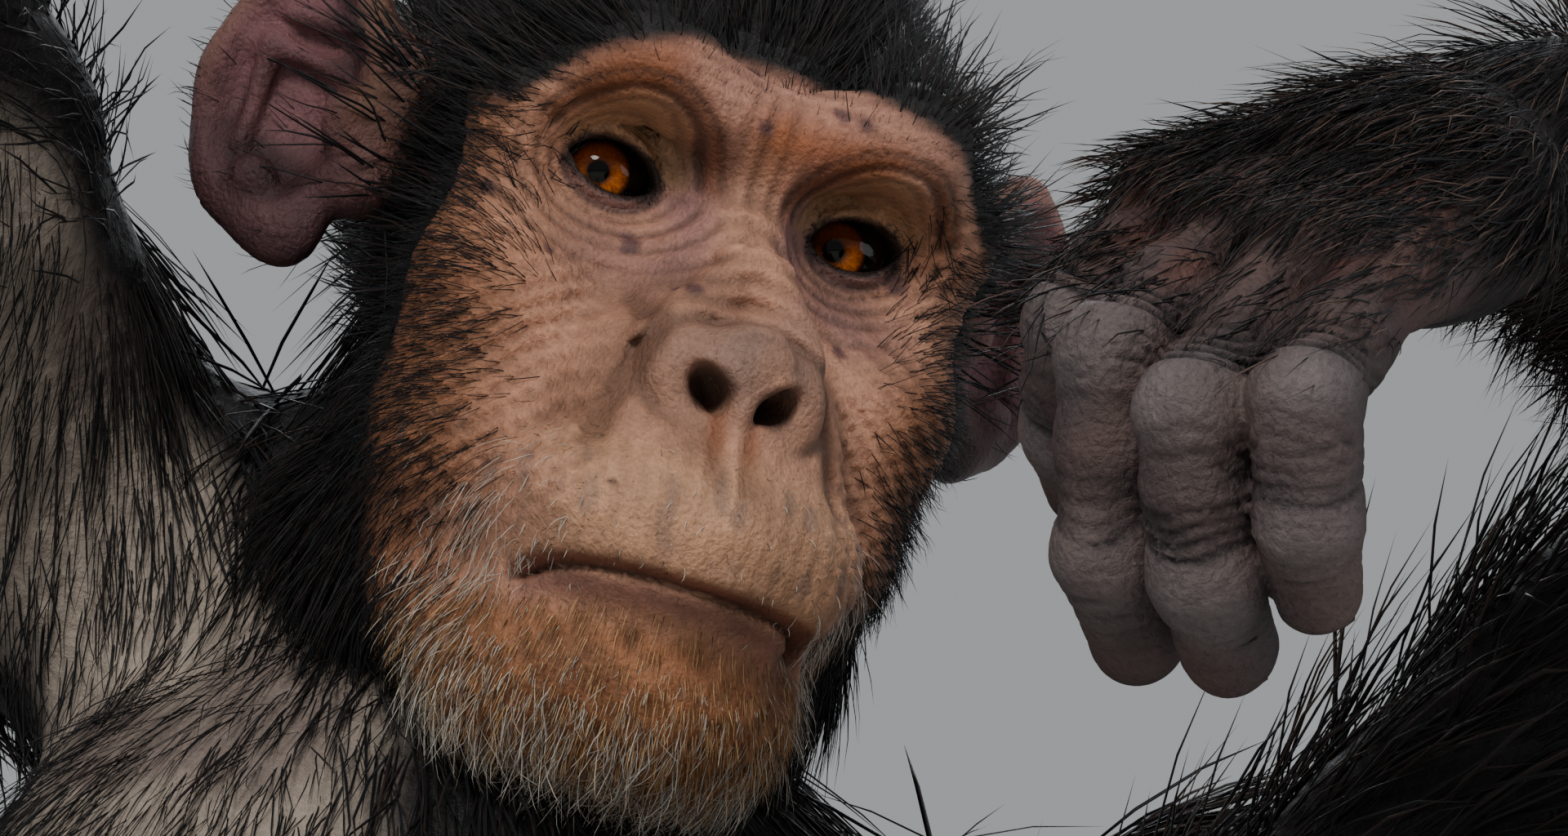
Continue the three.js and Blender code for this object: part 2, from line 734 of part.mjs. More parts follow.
// A foot on one net: heel, arch, ball and the stub of the ankle
function foot(ankle, heading, s) {
  const f = unit(heading);
  const w = [f[1] * -1, f[0], 0];
  const at = (ahead, aside, z) => [
    ankle[0] + f[0] * ahead + w[0] * aside,
    ankle[1] + f[1] * ahead + w[1] * aside,
    z,
  ];
  const inner = -s;
  const forms = [
    [bone(at(-34, 0, 25), at(20, inner * -4, 26), 25, 25), 0],
    [bone(at(20, inner * -6, 25), at(84, inner * -8, 17), 24, 17), 20],
    [bone(at(74, inner * 14, 16), at(92, inner * -24, 15), 16, 15), 16],
    [bone(at(10, inner * 8, 24), at(52, inner * 26, 17), 20, 15), 18],
    [bone(at(0, 0, 30), ankle, 27, 24), 16],
  ];
  const low = [ankle[0] - 140, ankle[1] - 140, -26];
  const high = [ankle[0] + 140, ankle[1] + 90, ankle[2] + 40];
  const net = surfaceNet(blend(forms), low, high, 15).simplify(0.8);
  const toes = [0, 1, 2, 3].map((i) => {
    const aside = inner * (14 - 14 * i);
    const start = at(86 - i * 2.5, aside, 13);
    const splay = inner * (3 - 2.6 * i);
    const length = TOE_LENGTH[i];
    return tube(
      [
        { c: start, w: 8.6 },
        { c: at(86 - i * 2.5 + length * 0.5, aside + splay * 0.7, 15), w: 8.2 },
        { c: at(86 - i * 2.5 + length * 0.84, aside + splay, 9.5), w: 7.4 },
        { c: at(86 - i * 2.5 + length, aside + splay * 1.1, 7), w: 6.4 },
      ],
      w,
      6,
    );
  });
  const big = tube(
    [
      { c: at(46, inner * 28, 15), w: 12.5 },
      { c: at(46 + BIG_TOE_LENGTH * 0.45, inner * 42, 14), w: 11 },
      { c: at(46 + BIG_TOE_LENGTH * 0.75, inner * 47, 11), w: 10.4 },
      { c: at(46 + BIG_TOE_LENGTH, inner * 48, 10), w: 8.5 },
    ],
    w,
    7,
  );
  return { net: floorTrim(net), toes: [big, ...toes].map(floorTrim) };
}

// Cut the foot's stub and the shin at the ankle
function joinFoot(shin, ankle, knee, heading, s) {
  const made = foot(ankle, heading, s);
  const n = sub(knee, ankle);
  const at = add(ankle, mul(unit(n), 4));
  const upper = beyond(shin, at, n, knee, GAP / 2);
  const lower = beyond(made.net, at, mul(n, -1), [ankle[0], ankle[1], 10], GAP / 2);
  return { shin: upper, foot: lower, toes: made.toes };
}

// A forearm from elbow to wrist
const forearm = (elbow, wrist, width) => {
  const sizes = [[37, 37], [41, 39], [36, 34], [29, 26], [26, 21]];
  const stations = [0, 0.2, 0.5, 0.8, 1].map((t, i) => ({
    c: mix(elbow, wrist, t),
    w: sizes[i][0],
    h: sizes[i][1],
  }));
  return tube(stations, width, 12);
};

// A hand: palm, then each finger through its joints
function hand(wrist, fingers, thumb) {
  const knuckles = mix(fingers.middle[0], fingers.ring[0], 0.5);
  const across = unit(sub(fingers.index[0], fingers.little[0]));
  const palm = [
    [bone(wrist, mix(wrist, knuckles, 0.5), 22, 17), 0],
    [bone(mix(wrist, fingers.index[0], 0.5), fingers.index[0], 14, 11), 14],
    [bone(mix(wrist, fingers.middle[0], 0.4), fingers.middle[0], 15, 11.5), 14],
    [bone(mix(wrist, fingers.ring[0], 0.4), fingers.ring[0], 15, 11), 14],
    [bone(mix(wrist, fingers.little[0], 0.5), fingers.little[0], 14, 10), 14],
    [bone(mix(wrist, thumb[0], 0.3), thumb[0], 14, 11), 14],
  ];
  const all = [wrist, thumb[0], ...Object.values(fingers).map((f) => f[0])];
  const low = [0, 1, 2].map((k) => Math.min(...all.map((p) => p[k])) - 36);
  const high = [0, 1, 2].map((k) => Math.max(...all.map((p) => p[k])) + 36);
  const net = surfaceNet(blend(palm), low, high, 11.5).simplify(0.8);
  const digit = (joints, r) => {
    const stations = [
      { c: joints[0], w: r * 1.05 },
      { c: mix(joints[0], joints[1], 0.55), w: r * 0.92 },
      { c: joints[1], w: r * 1.06 },
      { c: mix(joints[1], joints[2], 0.5), w: r * 0.9 },
      { c: joints[2], w: r * 0.95 },
      { c: joints[3], w: r * 0.72 },
    ];
    return tube(stations, across, 7);
  };
  const digits = Object.fromEntries(
    Object.entries(fingers).map(([name, joints]) => [name, digit(joints, FINGER_RADIUS[name])]),
  );
  digits.thumb = digit(thumb, FINGER_RADIUS.thumb);
  return { palm: net, digits };
}

// Trims the end of one part and the start of the next along one plane
function meet(first, next, at, from, to) {
  const n = bisector(from, at, to);
  return [
    largest(first.trimByPlane(mul(n, -1), -dot(n, at) + GAP / 2)),
    largest(next.trimByPlane(n, dot(n, at) + GAP / 2)),
  ];
}

put("head", head, FACE, headGrown);
for (const [name, s] of [
  ["left", 1],
  ["right", -1],
]) {
  put(`eye_${name}`, intoWorld(sphere(eyeCentre(s), EYE_RADIUS, 2)), EYE);
  put(`ear_${name}`, intoWorld(ear(s)), SKIN);
}

const limbs = {
  left: {
    s: 1,
    shoulder: J.shoulderL,
    elbow: J.elbowL,
    wrist: J.wristL,
    hip: J.hipL,
    knee: J.kneeL,
    ankle: J.ankleL,
    fingers: FINGERS_L,
    thumb: THUMB_L,
    width: [0.2, -0.5, 0.8],
  },
  right: {
    s: -1,
    shoulder: J.shoulderR,
    elbow: J.elbowR,
    wrist: J.wristR,
    hip: J.hipR,
    knee: J.kneeR,
    ankle: J.ankleR,
    fingers: FINGERS_R,
    thumb: THUMB_R,
    width: [0.5, -0.6, 0.2],
  },
};

for (const [name, limb] of Object.entries(limbs)) {
  const held = hand(limb.wrist, limb.fingers, limb.thumb);
  const knuckle = mix(limb.fingers.middle[0], limb.fingers.ring[0], 0.5);
  let arm = forearm(limb.elbow, limb.wrist, limb.width);
  let palm = held.palm;
  [arm, palm] = meet(arm, palm, limb.wrist, limb.elbow, knuckle);
  const armRoot = mix(limb.shoulder, limb.elbow, 0.12);
  let upperArm = limbTube(armRoot, limb.elbow, UPPER_ARM_RADII, [1, 0, 0]);
  [upperArm, arm] = meet(upperArm, arm, limb.elbow, limb.shoulder, limb.wrist);
  put(`upper_arm_${name}`, upperArm, FUR);
  put(`hand_${name}`, palm, SKIN);
  for (const [digit, solid] of Object.entries(held.digits)) {
    put(digit === "thumb" ? `thumb_${name}` : `${digit}_finger_${name}`, solid, SKIN);
  }
  const upward = unit(sub(limb.elbow, limb.wrist));
  const armRays = limbRays(limb.elbow, limb.wrist, [0, 0.2, -1], 4, 3, -80, 80, upward);
  const armCore = bone(limb.elbow, limb.wrist, 36, 24);
  const armLocks = locksOn(armCore, armRays, 31, { length: 40, width: 20, rise: 8 });
  put(`forearm_${name}`, withLocks(arm, armLocks), FUR);
}
for (const [name, limb] of Object.entries(limbs)) {
  let thigh = limbTube(mix(limb.hip, limb.knee, 0.12), limb.knee, THIGH_RADII, [1, 0, 0]);
  let shin = limbTube(limb.knee, limb.ankle, SHIN_RADII, [1, 0, 0]);
  [thigh, shin] = meet(thigh, shin, limb.knee, limb.hip, limb.ankle);
  const lower = joinFoot(shin, limb.ankle, limb.knee, FOOT_HEADING[name], limb.s);
  put(`thigh_${name}`, floorTrim(thigh), FUR);
  put(`shin_${name}`, lower.shin, FUR);
  put(`foot_${name}`, lower.foot, SKIN);
  lower.toes.forEach((toe, i) => {
    put(i ? `toe_${i + 1}_${name}` : `big_toe_${name}`, toe, SKIN);
  });
}
const neck = tube(
  [
    { c: [-34, 108, 322], w: 56, h: 60, cap: 0.4 },
    { c: [-24, 100, 352], w: 57, h: 60 },
    { c: [-8, 84, 396], w: 56, h: 58 },
  ],
  [1, 0, 0],
  16,
);
put("neck", neck, FUR);

// Hair of the trunk lies down the back and the flanks
const backRays = [];
[300, 245, 190, 135, 80].forEach((z, i) => {
  const count = 5;
  for (let k = 0; k < count; k += 1) {
    const a = THREE.MathUtils.degToRad(((k + 0.5 * (i % 2) + 0.25) / count - 0.5) * 220);
    backRays.push({
      from: [-42, 66, z],
      aim: [Math.sin(a), Math.cos(a), 0.1],
      flow: [0, -0.15, -1],
    });
  }
});
const trunkLocks = locksOn(bodyField, backRays, 21, { length: 60, width: 38, rise: 9 });
put("torso", floorTrim(withLocks(torso, trunkLocks)), FUR);

// The origin goes to the middle of the footprint, at floor level
const chimpanzee = new THREE.Group();
const box = new THREE.Box3();
for (const part of placed) {
  const { min, max } = part.solid.boundingBox();
  box.expandByPoint(new THREE.Vector3(...min));
  box.expandByPoint(new THREE.Vector3(...max));
}
const origin = [(box.min.x + box.max.x) / 2, (box.min.y + box.max.y) / 2, box.min.z];
for (const part of placed) {
  const solid = settled(part.solid.translate(mul(origin, -1)));
  const look = new THREE.MeshStandardMaterial(part.look);
  const mesh = new THREE.Mesh(geometryOf(solid), look);
  mesh.name = part.name;
  chimpanzee.add(mesh);
}

export default chimpanzee;
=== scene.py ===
"""A seated chimpanzee, life-size: one skin, eyes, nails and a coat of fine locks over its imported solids."""
import logging
import math
from collections.abc import Callable
from dataclasses import dataclass, field
from enum import Enum
from functools import partial, reduce

import bpy
import numpy as np
from mathutils import Matrix, Vector


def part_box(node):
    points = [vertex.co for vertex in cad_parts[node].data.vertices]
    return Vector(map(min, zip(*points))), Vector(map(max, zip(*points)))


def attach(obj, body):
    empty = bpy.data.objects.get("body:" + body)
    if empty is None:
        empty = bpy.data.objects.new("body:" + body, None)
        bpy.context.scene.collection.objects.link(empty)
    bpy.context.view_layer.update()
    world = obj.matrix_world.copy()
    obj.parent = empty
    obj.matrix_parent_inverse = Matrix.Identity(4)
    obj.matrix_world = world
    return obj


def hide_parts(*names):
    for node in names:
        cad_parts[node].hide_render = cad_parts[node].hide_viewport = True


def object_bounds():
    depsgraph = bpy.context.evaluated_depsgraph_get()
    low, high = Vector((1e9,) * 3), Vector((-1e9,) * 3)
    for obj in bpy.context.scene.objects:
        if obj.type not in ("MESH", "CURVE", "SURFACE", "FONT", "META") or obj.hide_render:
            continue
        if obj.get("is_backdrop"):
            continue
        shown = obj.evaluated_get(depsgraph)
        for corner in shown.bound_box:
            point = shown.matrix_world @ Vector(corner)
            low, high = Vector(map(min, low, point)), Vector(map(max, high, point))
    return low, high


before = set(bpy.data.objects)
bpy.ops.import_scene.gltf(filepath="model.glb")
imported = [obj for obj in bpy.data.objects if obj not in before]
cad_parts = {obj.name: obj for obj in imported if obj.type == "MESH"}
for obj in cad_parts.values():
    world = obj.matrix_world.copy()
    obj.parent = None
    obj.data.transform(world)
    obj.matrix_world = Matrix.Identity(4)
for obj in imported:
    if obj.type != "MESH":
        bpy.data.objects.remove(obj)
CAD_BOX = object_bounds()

LOG = logging.getLogger("chimpanzee")
BODY = "root"
MM = 0.001
Array = np.ndarray
Field = Callable[[Array], Array]
Node, Socket, Piece = bpy.types.Node, bpy.types.NodeSocket, bpy.types.Object

# Driving sizes in millimetres, x and y from the point between the eyes, z from the floor
EYE_HEIGHT = 428.0
HEAD_YAW, HEAD_PITCH, HEAD_ROLL = 1.71, 7.14, 13.83
EYE_RADIUS = 11.0
EYE_SPREAD = 25.5
EYE_SET_BACK = 2.0
LID_THICKNESS = 1.5
LOCKS_PER_PIECE = 8500
CLEARANCE = 0.4 * MM
JOINT = {
    "shoulder_left": (52, 96, 262), "elbow_left": (283, -64, 320), "wrist_left": (86, -212, 396),
    "shoulder_right": (-120, 122, 398), "elbow_right": (-235, -85, 565), "wrist_right": (-48, 76, 556),
    "hip_left": (22, 36, 108), "knee_left": (139, -136, 312), "ankle_left": (168, -160, 68),
    "hip_right": (-112, 42, 104), "knee_right": (-294, -166, 190), "ankle_right": (-146, -276, 60),
}
FINGERS = {
    "left": {
        "index": ((10, -225, 380), (-13, -240, 353), (-7, -221, 340), (3, -203, 331)),
        "middle": ((15, -241, 370), (-15, -264, 343), (-12, -252, 312), (1, -235, 296)),
        "ring": ((21, -258, 363), (-7, -280, 331), (-1, -269, 306), (11, -251, 293)),
        "little": ((29, -273, 357), (7, -294, 331), (10, -287, 312), (19, -270, 300)),
        "thumb": ((57, -218, 378), (33, -225, 357), (21, -227, 346), (13, -229, 337)),
    },
    "right": {
        "index": ((8, 70, 548), (46, 92, 540), (66, 104, 520), (74, 108, 502)),
        "middle": ((16, 90, 546), (53, 116, 532), (70, 128, 508), (74, 130, 488)),
        "ring": ((16, 110, 540), (48, 140, 520), (60, 150, 494), (62, 149, 476)),
        "little": ((10, 127, 532), (34, 152, 512), (42, 158, 492), (44, 156, 478)),
        "thumb": ((-30, 58, 540), (-8, 42, 536), (10, 36, 528), (24, 34, 520)),
    },
}
FINGER_RADIUS = {"index": 8.6, "middle": 9.2, "ring": 8.9, "little": 7.8, "thumb": 7.6}
UPPER_ARM_RADII = (36, 37, 35, 31, 26, 23)
FOREARM_RADII = (22, 28, 25, 20.5, 17)
THIGH_RADII = (58, 60, 57, 51, 43, 37)
SHIN_RADII = (36, 37, 37, 31, 24, 21, 21)
TOE_LENGTH = (42, 42, 38, 34)
FOOT_HEADING = {"left": (0.1, -1.0, 0.0), "right": (-0.35, -0.94, 0.0)}


class Side(Enum):
    """The animal's two sides, by the sign of x."""

    LEFT = 1
    RIGHT = -1

    @property
    def word(self) -> str:
        """The side's name in the part."""
        return self.name.lower()


class Slot(Enum):
    """The record's material slots."""

    FACE = "face_and_coat"
    EYE = "eye"
    SKIN = "bare_skin"
    COAT = "coat"


def unit(v: Array) -> Array:
    """Vectors scaled to length one along their last axis."""
    v = np.asarray(v, float)
    return v / np.maximum(np.linalg.norm(v, axis=-1, keepdims=True), 1e-9)


def ramp(low: float, high: float, x: Array) -> Array:
    """A smooth step from 0 at low to 1 at high."""
    t = np.clip((np.asarray(x, float) - low) / (high - low), 0, 1)
    return t * t * (3 - 2 * t)


def bell(x: Array, width: float) -> Array:
    """A bump of height one at x = 0, about width wide on each side."""
    return np.exp(-(np.asarray(x) / width) ** 2)


def place(name: str) -> Array:
    """A joint of the skeleton as an array."""
    return np.array(JOINT[name], float)


def lerp(a: Array, b: Array, t: float) -> Array:
    """The point a share t of the way from a to b."""
    return np.asarray(a, float) * (1 - t) + np.asarray(b, float) * t


def colour(text: str) -> Array:
    """A linear colour from its six-digit screen value."""
    screen = np.array([int(text[i:i + 2], 16) / 255 for i in (0, 2, 4)])
    return np.where(screen <= 0.04045, screen / 12.92, ((screen + 0.055) / 1.055) ** 2.4)


def mix(a: Array, b: Array, share: Array) -> Array:
    """Colours a turned into b by a share for each point."""
    share = np.clip(np.asarray(share, float), 0, 1)[..., None]
    return a * (1 - share) + b * share


def waves(p: Array, size: float, seed: int, count: int = 9) -> Array:
    """Smooth irregular variation between about -1 and 1, with features about size wide.

    Args:
        p: The points.
        size: How wide a feature is.
        seed: Picks a pattern.
        count: How many waves are summed.

    Returns:
        A value for each point.
    """
    rng = np.random.default_rng(seed)
    turns = unit(rng.normal(size=(count, 3))) * rng.uniform(0.6, 1.5, (count, 1)) * math.pi / size
    start = rng.uniform(0, 2 * math.pi, count)
    return np.sin(p @ turns.T + start).sum(-1) / math.sqrt(count * 0.9)


class Frames:
    """Turns the animal's own millimetres into the part's metres, and the head's frame into both."""

    def __init__(self) -> None:
        """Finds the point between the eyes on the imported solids."""
        corners = [np.array(corner) for eye in ("eye_left", "eye_right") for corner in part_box(eye)]
        turn = Matrix.Rotation(math.radians(HEAD_ROLL), 3, "Y")
        turn = turn @ Matrix.Rotation(math.radians(HEAD_PITCH), 3, "X")
        turn = turn @ Matrix.Rotation(math.radians(HEAD_YAW), 3, "Z")
        self.head = np.array(turn)
        self.origin = np.mean(corners, axis=0) - self.head @ np.array((0, EYE_SET_BACK, 0)) * MM

    def metres(self, points: Array) -> Array:
        """Points in animal millimetres as part metres."""
        return (np.asarray(points, float) - (0, 0, EYE_HEIGHT)) * MM + self.origin

    def from_head(self, points: Array) -> Array:
        """Points in the head's frame as animal millimetres."""
        return np.asarray(points, float) @ self.head.T + (0, 0, EYE_HEIGHT)

    def to_head(self, points: Array) -> Array:
        """Points in animal millimetres in the head's frame."""
        return (np.asarray(points, float) - (0, 0, EYE_HEIGHT)) @ self.head

    def turned(self, vectors: Array) -> Array:
        """Directions of the head's frame as directions of the part."""
        return np.asarray(vectors, float) @ self.head.T


FRAMES = Frames()


@dataclass(frozen=True)
class Ball:
    """An ellipsoid."""

    centre: tuple
    radii: tuple

    def distance(self, p: Array) -> Array:
        """How far points are outside the ellipsoid, about.

        Args:
            p: The points.

        Returns:
            Distances, negative inside.
        """
        q = (p - self.centre) / self.radii
        k0 = np.sqrt(np.einsum("ij,ij->i", q, q))
        q = q / self.radii
        k1 = np.sqrt(np.einsum("ij,ij->i", q, q))
        return k0 * (k0 - 1) / np.maximum(k1, 1e-6)


@dataclass(frozen=True)
class Bone:
    """A rod with round ends and a radius at each end."""

    start: tuple
    end: tuple
    start_radius: float
    end_radius: float

    def distance(self, p: Array) -> Array:
        """How far points are outside the rod.

        Args:
            p: The points.

        Returns:
            Distances, negative inside.
        """
        a = np.asarray(self.start, float)
        along = np.asarray(self.end, float) - a
        t = np.clip((p - a) @ along / (along @ along), 0, 1)
        q = p - a - t[:, None] * along
        radius = self.start_radius + (self.end_radius - self.start_radius) * t
        return np.sqrt(np.einsum("ij,ij->i", q, q)) - radius


def join(a: Array, b: Array, k: float) -> Array:
    """The union of two forms with a fillet about k wide."""
    h = np.maximum(k - np.abs(a - b), 0) / max(k, 1e-6)
    return np.minimum(a, b) - h * h * k * 0.25


def carve(a: Array, b: Array, k: float) -> Array:
    """Form a without form b, with a rounded edge."""
    return -join(-a, b, k)


@dataclass
class Blend:
    """Forms joined in turn, each with its own softness."""

    forms: list = field(default_factory=list)

    def add(self, form: Ball | Bone, softness: float) -> None:
        """Joins one more form."""
        self.forms.append((form, softness))

    def pair(self, make: Callable[[int], Ball | Bone], softness: float) -> None:
        """Joins a form on the left and its twin on the right."""
        self.add(make(1), softness)
        self.add(make(-1), softness)

    def chain(self, points: list, radii: tuple, softness: float) -> None:
        """Joins rods through points, with a radius at each."""
        for a, b, ra, rb in zip(points[:-1], points[1:], radii[:-1], radii[1:]):
            self.add(Bone(tuple(a), tuple(b), ra, rb), softness)

    def distance(self, p: Array) -> Array:
        """How far points are outside the joined form."""
        (first, _), *rest = self.forms
        return reduce(lambda d, row: join(d, row[0].distance(p), row[1]), rest, first.distance(p))


def grid_lines(low: float, high: float, fine_low: float, fine_high: float, fine: float,
               coarse: float) -> Array:
    """Grid lines from low to high, close together between fine_low and fine_high.

    Args:
        low: Where the lines start, about.
        high: Where they end, about.
        fine_low: Where the close lines start.
        fine_high: Where the close lines end.
        fine: Their spacing.
        coarse: The others' spacing.

    Returns:
        The places of the lines.
    """
    before = np.arange(fine_low - coarse, low - coarse, -coarse)[::-1]
    middle = np.arange(fine_low, fine_high, fine)
    after = np.arange(middle[-1] + coarse, high + coarse, coarse)
    return np.concatenate([before, middle, after])


@dataclass
class SurfaceNet:
    """Makes the surface where a field is zero as a net of four-sided faces."""

    outside: Field
    axes: list
    block: int = 4
    margin: float = 1.3
    at_once: int = 300000

    def _shifted(self, array: Array, offset: tuple) -> Array:
        """A grid array from an offset corner of each cell."""
        return array[tuple(slice(o, n - 1 + o) for o, n in zip(offset, array.shape))]

    def _values(self) -> Array:
        """The field on the grid, exact near the surface and rough away from it.

        Returns:
            A value for each grid point.
        """
        picks = [np.unique(np.append(np.arange(0, len(a), self.block), len(a) - 1)) for a in self.axes]
        coarse = [a[i] for a, i in zip(self.axes, picks)]
        points = np.stack(np.meshgrid(*coarse, indexing="ij"), -1).reshape(-1, 3)
        rough = self.outside(points).reshape([len(a) for a in coarse])
        across, along, up = (np.gradient(a) for a in coarse)
        reach = np.sqrt(across[:, None, None] ** 2 + along[None, :, None] ** 2 + up[None, None, :] ** 2)
        nearest = [np.abs(a[:, None] - c[None, :]).argmin(1) for a, c in zip(self.axes, coarse)]
        value = rough[np.ix_(*nearest)]
        where = np.nonzero((np.abs(rough) < reach * self.margin)[np.ix_(*nearest)])
        points = np.stack([a[i] for a, i in zip(self.axes, where)], -1)
        parts = np.array_split(points, max(1, len(points) // self.at_once))
        value[where] = np.concatenate([self.outside(part) for part in parts])
        return value

    def build(self) -> tuple[Array, Array]:
        """Makes the net.

        Returns:
            The corners, and four corner numbers for each face, turned outwards.
        """
        value = self._values()
        inside = value < 0
        offsets = [(c & 1, (c >> 1) & 1, (c >> 2) & 1) for c in range(8)]
        count = sum(self._shifted(inside, c).astype(np.int8) for c in offsets)
        cells = np.nonzero((count > 0) & (count < 8))
        held = np.stack([value[tuple(i + o for i, o in zip(cells, c))] for c in offsets], -1)
        total = np.zeros((len(held), 3))
        crossings = np.zeros(len(held))
        for a in range(8):
            for b in range(a + 1, 8):
                step = np.array(offsets[b]) - np.array(offsets[a])
                if np.abs(step).sum() != 1:
                    continue
                crossed = (held[:, a] < 0) != (held[:, b] < 0)
                share = np.where(crossed, held[:, a] / np.where(crossed, held[:, a] - held[:, b], 1), 0)
                total += np.where(crossed[:, None], np.array(offsets[a]) + share[:, None] * step, 0)
                crossings += crossed
        low = np.stack([a[i] for a, i in zip(self.axes, cells)], -1)
        high = np.stack([a[i + 1] for a, i in zip(self.axes, cells)], -1)
        corners = low + total / crossings[:, None] * (high - low)
        number = np.full(count.shape, -1, np.int64)
        number[cells] = np.arange(len(held))
        return corners, np.concatenate([self._faces(inside, number, axis) for axis in range(3)])

    def _faces(self, inside: Array, number: Array, axis: int) -> Array:
        """The faces that cross the grid's edges along one axis.

        Args:
            inside: Whether each grid point is inside.
            number: Each cell's corner number.
            axis: Which way the edges run.

        Returns:
            Four corner numbers for each face.
        """
        first = [slice(1, n - 1) for n in inside.shape]
        second = list(first)
        first[axis] = slice(0, inside.shape[axis] - 1)
        second[axis] = slice(1, inside.shape[axis])
        starts_inside = inside[tuple(first)]
        spots = np.nonzero(starts_inside != inside[tuple(second)])
        outward = starts_inside[spots]
        base = [spot if k == axis else spot + 1 for k, spot in enumerate(spots)]
        u, w = (axis + 1) % 3, (axis + 2) % 3
        around = []
        for back_u, back_w in ((1, 1), (0, 1), (0, 0), (1, 0)):
            cell = list(base)
            cell[u] = cell[u] - back_u
            cell[w] = cell[w] - back_w
            around.append(number[tuple(cell)])
        quads = np.stack(around, -1)
        quads[~outward] = quads[~outward][:, ::-1]
        return quads


def settle(outside: Field, p: Array, rounds: int = 2, furthest: float = 1.5, step: float = 0.3) -> Array:
    """Points moved onto the surface of a field.

    Args:
        outside: The distance from the surface.
        p: The points.
        rounds: How often points move.
        furthest: The longest move.
        step: Over how far the slope is taken.

    Returns:
        The moved points.
    """
    for _ in range(rounds):
        d = outside(p)
        slope = np.stack([(outside(p + step * np.eye(3)[k]) - d) / step for k in range(3)], -1)
        move = np.clip(d / np.maximum(np.einsum("ij,ij->i", slope, slope), 0.2), -furthest, furthest)
        p = p - slope * move[:, None]
    return p


def net(outside: Field, axes: list, furthest: float = 1.5) -> tuple[Array, Array]:
    """The surface of a field as settled points and four-sided faces."""
    points, faces = SurfaceNet(outside, axes).build()
    return settle(outside, points, furthest=furthest), faces


